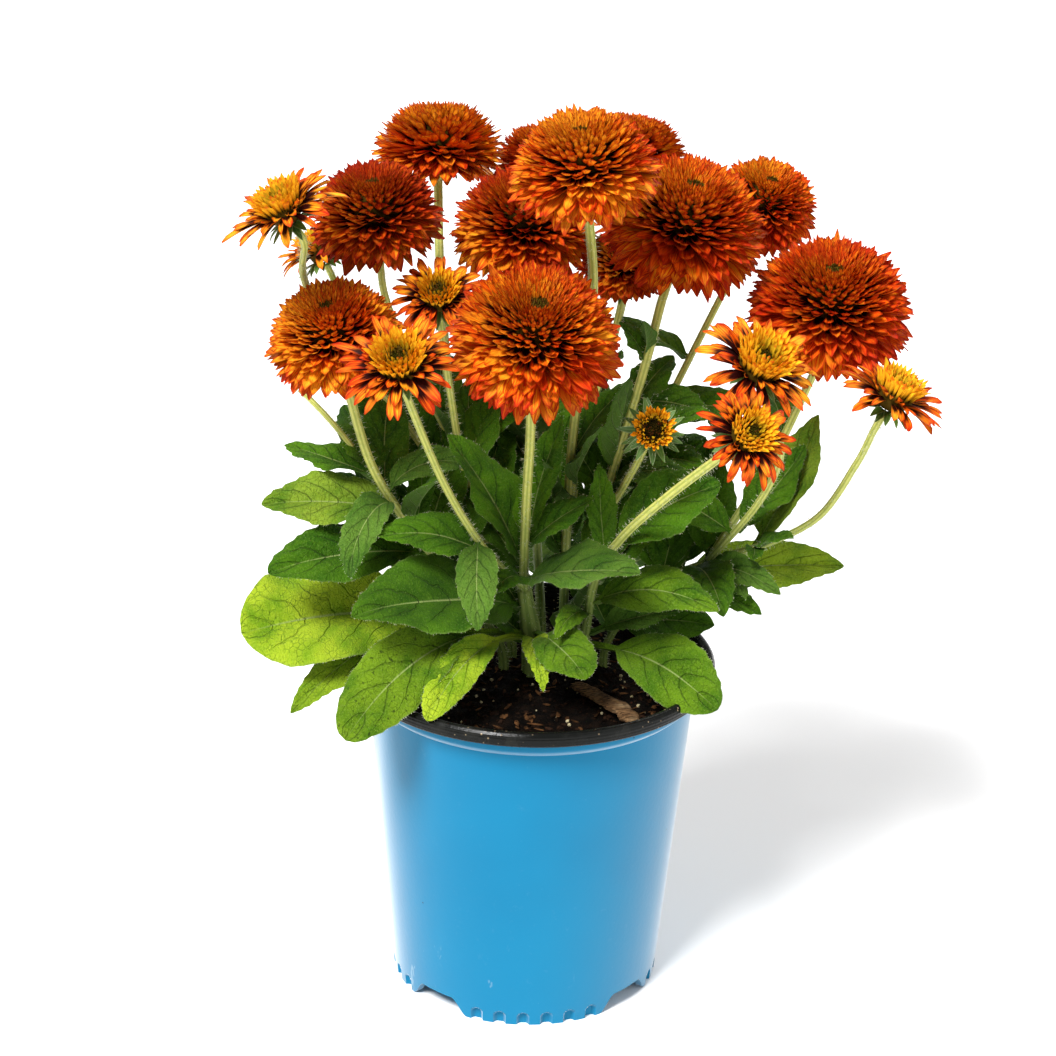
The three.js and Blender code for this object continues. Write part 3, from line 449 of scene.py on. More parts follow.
def add_petals(shape, rng, azimuth, foot, start, end, length, width, cup, level, rows, columns, turn, at,
               waist=0.35, widest=0.62, blunt=0.4, thickness=0.3, groove=0.0, swing=0.06, bend=1.25):
    """Petals that leave foot = (radius, height) and curve from start to end, in radians above level."""
    n = len(azimuth)
    parts = [np.broadcast_to(part, n)[:, None] for part in (*foot, start, end, length, width, cup, level)]
    foot_r, foot_h, start, end, length, width, cup, level = parts
    azimuth = azimuth + rng.normal(0, swing, n)
    u = np.linspace(0, 1, rows)[None] ** 0.9
    v = np.linspace(-1, 1, columns)
    angle = start + (end - start) * u ** bend
    step = np.diff(u, axis=1)
    radius = foot_r + running_sum(np.cos(angle), step) * length
    height = foot_h + running_sum(np.sin(angle), step) * length
    out = polar(1.0, azimuth, 0.0)[:, None]
    side = np.stack([-out[..., 1], out[..., 0], out[..., 2]], -1)
    centre = out * radius[..., None] + UP * height[..., None]
    normal = -out * np.sin(angle)[..., None] + UP * np.cos(angle)[..., None]
    twist = (rng.normal(0, PETAL_TWIST, n)[:, None] * u)[..., None]
    cos, sin = np.cos(twist), np.sin(twist)
    side, normal = side * cos + normal * sin, normal * cos - side * sin
    half = (0.5 * width * petal_width(u, waist, widest, blunt))[..., None]
    curl = np.maximum(0.05, cup * (1.15 - 0.45 * u))[..., None]
    arc = curl * v
    across = half * np.sin(arc) / curl
    phase = rng.uniform(0, 2 * np.pi, n)[:, None, None]
    wave = np.sin(5.0 * u[..., None] * np.sign(v + 0.01) + phase)
    lift = half * (1 - np.cos(arc)) / curl + PETAL_RIPPLE * width[..., None] * np.abs(v) * wave
    lift = lift + groove * half * np.cos(3 * np.pi * v) * np.sin(np.pi * u[..., None])
    side, normal = side[:, :, None], normal[:, :, None]
    upper = centre[:, :, None] + side * across[..., None] + normal * lift[..., None]
    lower = upper - normal * thickness * (1 - 0.5 * u[..., None, None])
    add_sheets(shape, upper @ turn.T + at, lower @ turn.T + at, along=u[..., None], across=v[None, None],
               chance=rng.uniform(0, 1, n)[:, None, None], level=level[..., None])


# Profile of a full double head, from beside its eye down to its lowest petals. Tips and feet are radii and
# heights as parts of the head's radius; tip angles are degrees above its widest plane; widths are on a head
# of DOME_SIZE radius.
DOME_SIZE = 35
DOME_PLACES = [0, 0.14, 0.28, 0.42, 0.54, 0.66, 0.78, 0.89, 1]
DOME_TIPS = ([0.12, 0.27, 0.44, 0.60, 0.75, 0.88, 0.97, 1.0, 0.86],
             [0.60, 0.67, 0.66, 0.58, 0.45, 0.27, 0.04, -0.22, -0.52])
DOME_FEET = ([0.09, 0.18, 0.28, 0.36, 0.41, 0.42, 0.38, 0.30, 0.22],
             [0.42, 0.46, 0.44, 0.36, 0.25, 0.11, 0.0, -0.08, -0.14])
DOME_ANGLES = [84, 78, 70, 62, 52, 36, 10, -20, -52]
DOME_WIDTHS = [1.4, 1.7, 2.2, 3.5, 4.6, 5.7, 6.7, 7.3, 7.0]
DOME_CROWDING = [0.8, 0.75, 0.7, 0.6, 0.56, 0.54, 0.49, 0.45, 0.43]
DOME_CUPS = [1.5, 1.4, 1.3, 1.15, 1.05, 0.95, 0.8, 0.65, 0.55]
# Bands of that profile: from and to, grids on the near heads and on the others, blunt, widest, swing, groove
DOME_BANDS = [
    (0, 0.3, (4, 3), (4, 3), 0.3, 0.7, 0.03, 0.0),
    (0.3, 0.68, (5, 4), (5, 3), 0.5, 0.7, 0.06, 0.0),
    (0.68, 1.01, (7, 5), (6, 4), 0.5, 0.54, 0.06, 0.06),
]
NEAR_DOMES = ("05", "08", "10", "15", "18")


def on_dome(place, table):
    return np.interp(place, DOME_PLACES, table)


def dome_head(shape, rng, radius, near, turn, at):
    """A full double head, its petals in a spiral that is as crowded as the profile says."""
    fine = np.linspace(0, 1, 400)
    tip_r, tip_h = (on_dome(fine, part) * radius for part in DOME_TIPS)
    size = (radius / DOME_SIZE) ** 0.5
    pace = np.hypot(np.gradient(tip_r), np.gradient(tip_h))
    room = on_dome(fine, DOME_CROWDING) * (on_dome(fine, DOME_WIDTHS) * size) ** 2
    total = np.cumsum(2 * np.pi * tip_r * pace / room)
    count = int(total[-1])
    place = np.interp(np.arange(count) + 0.5, total, fine)
    azimuth, _ = spiral(count)
    place = np.clip(place + rng.normal(0, 0.01, count), 0, 1)
    foot_r, foot_h = (on_dome(place, part) * radius for part in DOME_FEET)
    reach = rng.normal(1, 0.035, count)
    way_r, way_h = (on_dome(place, part) * radius * reach for part in DOME_TIPS)
    way_r, way_h = way_r - foot_r, way_h - foot_h
    slope = np.arctan2(way_h, way_r)
    end = np.radians(on_dome(place, DOME_ANGLES) + rng.normal(0, 8, count))
    cup = on_dome(place, DOME_CUPS) * rng.normal(1, 0.12, count)
    wide = on_dome(place, DOME_WIDTHS) * size * rng.normal(1, 0.1, count)
    length = np.hypot(way_r, way_h) * (1 + (end - slope) ** 2 / 6)
    for low, high, near_grid, far_grid, blunt, widest, swing, groove in DOME_BANDS:
        m = (place >= low) & (place < high)
        rows, columns = near_grid if near else far_grid
        add_petals(shape, rng, azimuth[m], (foot_r[m], foot_h[m]), 2 * slope[m] - end[m], end[m], length[m],
                   wide[m], cup[m], place[m], rows, columns, widest=widest, blunt=blunt, groove=groove,
                   turn=turn, at=at, swing=swing, bend=1.0)


BUD_FLORETS = 96
# Florets of a half-open head: the short ones on its dark ring, and the quills for every millimetre of radius
RING_FLORETS = 16
QUILLS_PER_MM = 4.6
# Whorls of a half-open head: petals, reach, angles at foot and tip, width and level
DAISY_WHORLS = [(19, 1.0, 12, -24, 0.18, 0.98), (17, 0.92, 24, -4, 0.17, 0.9), (13, 0.78, 38, 16, 0.15, 0.8)]


def daisy_head(rays, quills, rng, radius, turn, at):
    """A half-open head: whorls of rays, short florets on the dark ring, and a crown of upright quills."""
    for count, reach, start, end, wide, level in DAISY_WHORLS:
        azimuth = (np.arange(count) + 3 * level) * 2 * np.pi / count + rng.normal(0, 0.09, count)
        spread = rng.normal(0, 6, count)
        add_petals(rays, rng, azimuth, (0.2 * radius, -0.04 * radius),
                   np.radians(start + spread), np.radians(end + 1.4 * spread + rng.normal(0, 10, count)),
                   radius * (reach - 0.18) * rng.normal(1.0, 0.08, count),
                   radius * wide * rng.normal(1, 0.12, count), rng.uniform(0.6, 1.5, count), level, 9, 5,
                   waist=0.42, widest=0.66, blunt=0.7, groove=0.09, turn=turn, at=at, bend=1.4)
    count = RING_FLORETS
    azimuth = rng.uniform(0, 2 * np.pi, count)
    add_petals(rays, rng, azimuth, (0.33 * radius, 0.06 * radius),
               np.radians(rng.uniform(15, 40, count)), np.radians(rng.uniform(10, 60, count)),
               radius * rng.uniform(0.2, 0.36, count), radius * rng.uniform(0.09, 0.14, count),
               rng.uniform(1.2, 2.0, count), 0.35, 6, 5, widest=0.75, blunt=0.8, turn=turn, at=at)
    count = int(QUILLS_PER_MM * radius)
    azimuth, ring = spiral(count)
    start = np.radians(95 - 26 * ring)
    length = radius * (0.12 + 0.25 * ring ** 0.8) * rng.normal(1, 0.1, count)
    add_petals(quills, rng, azimuth, ((0.1 + 0.26 * ring) * radius, (0.27 - 0.17 * ring) * radius),
               start, start + np.radians(rng.normal(6 - 20 * ring, 6)), length,
               radius * rng.normal(0.10, 0.010, count) * (0.7 + 0.5 * ring), rng.uniform(1.2, 1.8, count),
               ring, 5, 4, waist=0.55, widest=0.66, blunt=0.6, turn=turn, at=at, swing=0.03)


def bud_head(quills, rng, radius, turn, at):
    """The opening bud: a ring of short florets round a broad eye."""
    count = BUD_FLORETS
    azimuth, ring = spiral(count)
    start = np.radians(84 - 44 * ring)
    add_petals(quills, rng, azimuth, ((0.34 + 0.3 * ring) * radius, (0.34 - 0.3 * ring) * radius),
               start, start + np.radians(rng.normal(24, 10, count)),
               radius * (0.34 + 0.24 * ring) * rng.normal(1, 0.14, count), 0.2 * radius,
               rng.uniform(1.3, 2.0, count), ring, 5, 5, waist=0.5, widest=0.65, blunt=0.5, turn=turn, at=at)


def side_frames(ways):
    """Unit directions, and two sides square to each."""
    ways = ways / np.linalg.norm(ways, axis=1, keepdims=True)
    guess = np.where(np.abs(ways[:, :1]) > 0.8, [[0.0, 1.0, 0.0]], [[1.0, 0.0, 0.0]])
    side = np.cross(ways, guess)
    side /= np.linalg.norm(side, axis=1, keepdims=True)
    return ways, side, np.cross(ways, side)


CONE_SIDES = 5
CONE_SHOULDER = 0.62


def add_cones(shape, feet, tips, radius, **values):
    """Closed spikes with a rounded shoulder, each from a foot to a tip."""
    ways, a, b = side_frames(tips - feet)
    size = np.linalg.norm(tips - feet, axis=1)[:, None, None]
    turn = even_turns(CONE_SIDES)[:, None]
    around = (a[:, None] * np.cos(turn) + b[:, None] * np.sin(turn)) * radius
    low = feet[:, None] + around
    high = feet[:, None] + ways[:, None] * size * CONE_SHOULDER + around * 0.8
    points = np.concatenate([feet[:, None], low, high, tips[:, None]], 1)
    tris = []
    for k in range(CONE_SIDES):
        low_a, low_b = 1 + k, 1 + (k + 1) % CONE_SIDES
        high_a, high_b = low_a + CONE_SIDES, low_b + CONE_SIDES
        tris += [(0, low_b, low_a), (low_a, low_b, high_b), (low_a, high_b, high_a)]
        tris += [(high_a, high_b, 1 + 2 * CONE_SIDES)]
    n, each = points.shape[:2]
    values = {name: np.repeat(np.broadcast_to(value, n), each) for name, value in values.items()}
    along = np.tile([0.0] * (1 + CONE_SIDES) + [CONE_SHOULDER] * CONE_SIDES + [1.0], n)
    shape.add(points, tris=copies(np.array(tris), n, each), along=along, **values)


def add_hairs(shape, feet, ways, lengths, width):
    """Fine closed spikes of four triangles each."""
    ways, a, b = side_frames(ways)
    corners = [a, -0.5 * a + 0.87 * b, -0.5 * a - 0.87 * b]
    points = np.stack([feet + c * width for c in corners] + [feet + ways * lengths[:, None]], 1)
    tris = np.array([(0, 2, 1), (0, 1, 3), (1, 2, 3), (2, 0, 3)])
    shape.add(points, tris=copies(tris, len(feet), 4))


# Stems
STEM_COLUMNS = 18
STEM_RIBS = 6
RIB_DEPTH = 0.06
# Hairs for every point of a stem's line
STEM_HAIRS = 10


def stem_route(name):
    """Points along a stem's middle, up to the seat of its bloom."""
    _, _, top, route = STEMS[name]
    route = list(route)
    if top in BLOOMS:
        kind, at, _, lean, towards, _ = BLOOMS[top]
        _, axis = bloom_turn(lean, towards)
        route += [np.array(at) - axis * (SEATS[kind] + back) for back in (12, 2.5)]
    return curve_points(route)


def stem_at_height(name, height):
    line = stem_route(name)
    index = max(1, int(np.argmax(line[:, 2] >= height)))
    low, high = line[index - 1], line[index]
    return low + (high - low) * (height - low[2]) / (high[2] - low[2])


def sweep_sides(line):
    """Two sides carried along a line without twisting."""
    tangent = np.gradient(line, axis=0)
    tangent /= np.linalg.norm(tangent, axis=1, keepdims=True)
    side = np.cross(tangent[0], [0.0, 1.0, 0.0])
    sides = []
    for t in tangent:
        side = side - t * (side @ t)
        side = side / np.linalg.norm(side)
        sides.append(side)
    sides = np.array(sides)
    return sides, np.cross(tangent, sides)


def add_stem(shape, line, radii, fresh):
    """A ribbed stem along a line. fresh says how young and pale it is at each point."""
    a, b = sweep_sides(line)
    turn = even_turns(STEM_COLUMNS)
    ribs = np.cos(STEM_RIBS * turn)
    radius = radii[:, None] * (1 + RIB_DEPTH * ribs)
    ring = a[:, None] * np.cos(turn)[:, None] + b[:, None] * np.sin(turn)[:, None]
    around = np.concatenate([np.tile(ribs, len(line)), [0, 0]])
    pale = np.concatenate([np.repeat(fresh, STEM_COLUMNS), fresh[[0, -1]]])
    add_rings(shape, line[:, None] + ring * radius[..., None], line[[0, -1]], around=around, pale=pale)


def add_stem_hairs(hairs, rng, line, radius):
    count = len(line) * STEM_HAIRS
    places = rng.uniform(0, 1, count) * (len(line) - 1.001)
    low = places.astype(int)
    share = (places - low)[:, None]
    middle = line[low] * (1 - share) + line[low + 1] * share
    a, b = sweep_sides(line)
    around = rng.uniform(0, 2 * np.pi, count)[:, None]
    way = a[low] * np.cos(around) + b[low] * np.sin(around)
    add_hairs(hairs, middle + way * radius * 0.9, way + rng.normal(0, 0.22, (count, 3)),
              rng.uniform(0.9, 1.9, count) + 0.1 * radius, STEM_HAIR)


# Leaves
def leaf_half_width(u, width, stalk, blunt):
    blade = np.clip((u - stalk) / (1 - stalk), 0, 1)
    return 0.5 * width * np.sin(np.pi * blade ** (0.78 + 0.42 * blunt)) ** (0.72 - 0.26 * blunt)


def add_leaf(shape, hairs, rng, foot, azimuth, length, width, rise, droop, stalk, tone, blunt, grid):
    """A drooping leaf with a folded midrib, quilted veins, and rippled, toothed and hairy edges."""
    rows, columns = grid
    out = heading(azimuth)
    level = np.cross(UP, out)
    faces = FRONT_TURN if math.sin(math.radians(azimuth)) < 0.3 else BACK_TURN
    roll = -math.cos(math.radians(azimuth)) * math.radians(faces)
    u = (1 - np.linspace(1, 0, rows) ** 1.3)[:, None]
    x = np.linspace(-1, 1, columns)
    v = np.sign(x) * np.abs(x) ** 1.2
    slope = np.radians(rise - droop * u)
    ahead = np.cos(slope) * out + np.sin(slope) * UP
    line = foot + running_sum(ahead[None], np.diff(u, axis=0))[0] * length
    upright = np.cos(slope) * UP - np.sin(slope) * out
    sway = rng.uniform(-0.03, 0.03) * length * np.sin(np.pi * u) ** 2
    turning = roll + rng.uniform(-0.15, 0.15) * u
    side = level * np.cos(turning) - upright * np.sin(turning)
    normal = upright * np.cos(turning) + level * np.sin(turning)
    line = line + side * sway
    bare = np.interp(u, [0, max(stalk, 0.03), 0.93, 1.0], [1.5, 1.15, 0.5, 0.12])
    blade = np.clip((u - stalk) / (1 - stalk), 0, 1)
    half = np.maximum(leaf_half_width(u, width, stalk, blunt), bare)
    toothed = smooth(0.12, 0.3, blade) * smooth(1.0, 0.9, blade)
    teeth = []
    for _ in range(2):
        saw = (blade * length / TOOTH_PITCH + rng.uniform()) % 1 - 0.5
        teeth.append(saw * rng.uniform(0.6, 1.2) * TOOTH_DEPTH * toothed)
    edge = np.where(x < 0, teeth[0], teeth[1]) * np.abs(x) ** 6
    fold = LEAF_FOLD * rng.uniform(0.7, 1.2)
    lift = half * (fold * np.abs(v) - 0.2 * np.abs(v) ** 3 * smooth(0.1, 0.6, blade))
    for sign in (-1, 1):
        waves, phase = rng.uniform(1.3, 2.4), rng.uniform(0, 2 * np.pi)
        outer = np.clip(sign * v, 0, 1)
        ripple = 0.17 * np.sin(2 * np.pi * waves * u + phase) * outer ** 2
        lift = lift + half * (ripple + 0.03 * np.sin(2 * np.pi * 3.1 * waves * u) * outer ** 3)
    vein = SIDE_VEINS * (blade - VEIN_BOW * np.abs(v) ** 1.15)
    swell = np.sin(np.pi * (vein % 1)) ** 0.7 * np.sin(np.pi * np.abs(v) ** 0.8) * smooth(0.02, 0.12, blade)
    lift = lift + np.minimum(0.08 * half, 0.95) * swell - 0.3 * np.exp(-(v / 0.09) ** 2)
    out = (half * v + np.sign(v) * edge)[..., None]
    upper = line[:, None] + side[:, None] * out + normal[:, None] * lift[..., None]
    thick = 0.42 + 1.3 * np.exp(-(v / 0.14) ** 2) * (1 - 0.75 * u)
    thick = thick + (1 - smooth(0.0, 0.12, blade)) * 1.3 * (1 - v ** 2)
    lower = upper - normal[:, None] * thick[..., None]
    flat = np.stack(np.broadcast_arrays(half * v, u * length, rng.uniform(0, 100)), -1)
    add_sheets(shape, upper[None], lower[None], along=blade[None], across=v[None, None], chance=rng.uniform(),
               flat=flat[None], tone=np.broadcast_to(LEAF_TONES[tone], flat[None].shape))
    for sign, column in ((-1, 0), (1, -1)):
        count = int(length * EDGE_HAIRS_PER_MM)
        places = rng.uniform(stalk, 1, count) * (rows - 1)
        low = np.minimum(places.astype(int), rows - 2)
        part = (places - low)[:, None]
        feet = upper[low, column] * (1 - part) + upper[low + 1, column] * part
        ways = side[low] * sign + ahead[low] * 0.5 + rng.normal(0, 0.25, (count, 3))
        add_hairs(hairs, feet, ways, rng.uniform(0.5, 1.0, count), FINE_HAIR)


# Node trees
class Tree:
    """A material's nodes, made one at a time and linked as they are made."""

    def __init__(self, name):
        self.material = bpy.data.materials.new(name)
        self.material.use_nodes = True
        self.nodes, self.links = self.material.node_tree.nodes, self.material.node_tree.links
        self.nodes.clear()

    def put(self, socket, value):
        if isinstance(value, bpy.types.NodeSocket):
            self.links.new(value, socket)
        elif socket.type == "RGBA":
            socket.default_value = (*value, 1.0)
        else:
            socket.default_value = value

    def node(self, kind, output=0, settings=None, **inputs):
        node = self.nodes.new(kind)
        for key, value in (settings or {}).items():
            setattr(node, key, value)
        for key, value in inputs.items():
            self.put(node.inputs[int(key[1:]) if key[0] == "i" and key[1:].isdigit() else key], value)
        return node.outputs[output]

    def values(self, names):
        """The values on the points that have these names."""
        return [self.node("ShaderNodeAttribute", "Fac", {"attribute_name": name}) for name in names.split()]

    def vector(self, name):
        return self.node("ShaderNodeAttribute", "Vector", {"attribute_name": name})

    def math(self, operation, a, b=0.0, c=0.0):
        return self.node("ShaderNodeMath", 0, {"operation": operation}, i0=a, i1=b, i2=c)

    def times(self, a, b):
        return self.math("MULTIPLY", a, b)

    def plus(self, a, b):
        return self.math("ADD", a, b)

    def scaled(self, a, factor, shift):
        return self.math("MULTIPLY_ADD", a, factor, shift)

    def span(self, value, low, high, to_low=0.0, to_high=1.0):
        """Smoothly maps low..high to to_low..to_high."""
        settings = {"interpolation_type": "SMOOTHSTEP"}
        return self.node("ShaderNodeMapRange", 0, settings, i0=value, i1=low, i2=high, i3=to_low, i4=to_high)

    def mix(self, factor, a, b):
        return self.node("ShaderNodeMix", 2, {"data_type": "RGBA"}, i0=factor, i6=a, i7=b)

    def mapped(self, vector, scale, turn=0.0):
        """The vector, turned about Z by degrees and scaled."""
        inputs = {"Vector": vector, "Scale": scale, "Rotation": (0.0, 0.0, math.radians(turn))}
        return self.node("ShaderNodeMapping", **inputs)

    def combine(self, x, y, z):
        return self.node("ShaderNodeCombineXYZ", 0, i0=x, i1=y, i2=z)

    def noise(self, vector, scale, detail=2.0, roughness=0.5):
        inputs = {"Vector": vector, "Scale": scale, "Detail": detail, "Roughness": roughness}
        return self.node("ShaderNodeTexNoise", **inputs)

    def cells(self, vector, scale, feature="DISTANCE_TO_EDGE"):
        return self.node("ShaderNodeTexVoronoi", 0, {"feature": feature}, Vector=vector, Scale=scale)

    def place(self):
        return self.node("ShaderNodeTexCoord", 3)

    def bump(self, height, strength, distance):
        return self.node("ShaderNodeBump", 0, None, Height=height, Strength=strength, Distance=distance)

    def finish(self, color, roughness, normal=None, **numbers):
        shader = self.nodes.new("ShaderNodeBsdfPrincipled")
        self.put(shader.inputs["Base Color"], color)
        self.put(shader.inputs["Roughness"], roughness)
        for key, number in numbers.items():
            shader.inputs[key.replace("_", " ")].default_value = number
        if normal is not None:
            self.links.new(normal, shader.inputs["Normal"])
        output = self.nodes.new("ShaderNodeOutputMaterial")
        self.links.new(shader.outputs[0], output.inputs[0])
        return self.material


def petal_material(name, half_open, golden, red, dark):
    """Red-orange petals with golden streaks and patches, crimson patches and rims, red tips and dark crimson
    feet.
    On the upper faces of the double heads the dark feet are partly painted shade in the cups.
    """
    t = Tree(name)
    along, across, chance, level, face = t.values("along across chance level face")
    side = t.math("ABSOLUTE", across)
    streaks = t.scaled(across, 2.4, t.times(chance, 31.0))
    streaks = t.noise(t.combine(streaks, t.times(along, 0.8), t.times(chance, 57.0)), 1.7, 3.0, 0.6)
    fine = t.combine(t.scaled(across, 5.0, t.times(chance, 77.0)), t.times(along, 0.9), chance)
    fine = t.noise(fine, 2.0, 2.0, 0.5)
    patch = t.noise(t.place(), 34.0, 2.0)
    warm = t.plus(streaks, t.scaled(chance, 0.26, -0.13))
    warm = t.plus(warm, t.scaled(patch, 0.8, 0.22 * golden - 0.12 * red - 0.4))
    body = t.mix(t.span(warm, 0.28, 0.54), (0.58, 0.034, 0.002), (0.92, 0.155, 0.004))
    body = t.mix(t.span(warm, 0.50, 0.68, 0.0, 0.95), body, (1.0, 0.42, 0.016))
    redden = t.math("SUBTRACT", t.plus(chance, 0.7 * red), t.times(patch, 0.7))
    body = t.mix(t.span(redden, 0.32, 0.76, 0.0, 0.7), body, (0.42, 0.013, 0.002))
    body = t.mix(t.span(fine, 0.54, 0.60, 0.0, 0.55), body, (0.30, 0.010, 0.002))
    rim = t.span(t.plus(side, t.scaled(fine, 0.3, -0.15)), 0.7, 0.96, 0.0, 0.8)
    body = t.mix(rim, body, (0.36, 0.010, 0.002))
    tip = t.span(t.plus(along, t.scaled(fine, 0.5, -0.25)), 0.80, 1.0, 0.0, 0.8)
    body = t.mix(tip, body, (0.36, 0.010, 0.002))
    foot = t.plus(along, t.scaled(streaks, 0.3, -0.15))
    foot = t.plus(foot, t.times(t.times(across, across), 0.22))
    reach = 0.66
    if not half_open:
        reach = t.math("MINIMUM", t.span(level, 0.15, 0.45, 0.26, 0.46), t.span(level, 0.6, 0.95, 0.46, 0.3))
    # Painted shade: the upper faces darken from the foot up to reach. On the double heads this is shade in
    # the cups as well as the petals' own dark bases; on the half-open heads it is their dark bases.
    shade = t.span(t.math("SUBTRACT", foot, reach), 0.14, -0.08)
    upper = t.mix(shade, body, (0.022, 0.0012, 0.0008))
    under = t.mix(t.span(level, 0.25, 0.65, 0.6, 0.3), body, (1.0, 0.34, 0.010))
    under = t.mix(t.span(along, 0.5, 0.15, 0.0, 0.85), under, (0.14, 0.012, 0.002))
    under = t.mix(tip, under, (0.42, 0.016, 0.003))
    # The bloom's dark value darkens the whole head: partly its own deeper colour, partly painted shade.
    color = t.mix(dark, t.mix(face, under, upper), (0.06, 0.004, 0.001))
    ridges = t.noise(t.combine(t.times(across, 5.0), t.times(along, 0.8), chance), 3.0, 2.0)
    roughness = t.span(streaks, 0.3, 0.7, 0.4, 0.56)
    return t.finish(color, roughness, t.bump(ridges, 0.6, 0.0007), Specular_IOR_Level=0.1)


def quill_material():
    """Golden, olive-footed florets with orange tips."""
    t = Tree("quill")
    along, across, chance, level = t.values("along across chance level")
    streaks = t.combine(t.scaled(across, 2.0, t.times(chance, 41.0)), t.times(along, 1.2), chance)
    streaks = t.noise(streaks, 2.2, 3.0, 0.6)
    body = t.mix(t.span(streaks, 0.35, 0.65), (0.76, 0.32, 0.008), (0.95, 0.52, 0.016))
    olive = t.span(t.plus(level, t.times(chance, 0.4)), 0.3, 0.9, 0.7, 0.0)
    body = t.mix(olive, body, (0.36, 0.27, 0.010))
    tip = t.span(t.plus(along, t.scaled(chance, 0.5, -0.35)), 0.8, 1.0, 0.0, 0.9)
    body = t.mix(tip, body, (0.66, 0.12, 0.006))
    body = t.mix(t.span(along, 0.45, 0.05, 0.0, 0.9), body, (0.07, 0.045, 0.002))
    return t.finish(body, 0.55, t.bump(streaks, 0.4, 0.0005), Specular_IOR_Level=0.1)


def disc_material():
    t = Tree("disc")
    along, chance, level = t.values("along chance level")
    body = t.mix(t.span(level, 0.0, 0.3), (0.010, 0.009, 0.001), (0.040, 0.036, 0.002))
    body = t.mix(t.span(level, 0.3, 1.0), body, (0.050, 0.028, 0.002))
    gilt = t.span(t.plus(along, chance), 1.1, 1.9, 0.0, t.span(level, 0.0, 0.3, 0.2, 1.0))
    body = t.mix(gilt, body, (0.17, 0.13, 0.012))
    body = t.mix(t.span(chance, 0.75, 0.9, 0.0, 0.6), body, (0.12, 0.02, 0.008))
    grain = t.noise(t.place(), 900.0, 2.0)
    return t.finish(body, 0.8, t.bump(grain, 0.4, 0.0003), Specular_IOR_Level=0.05)


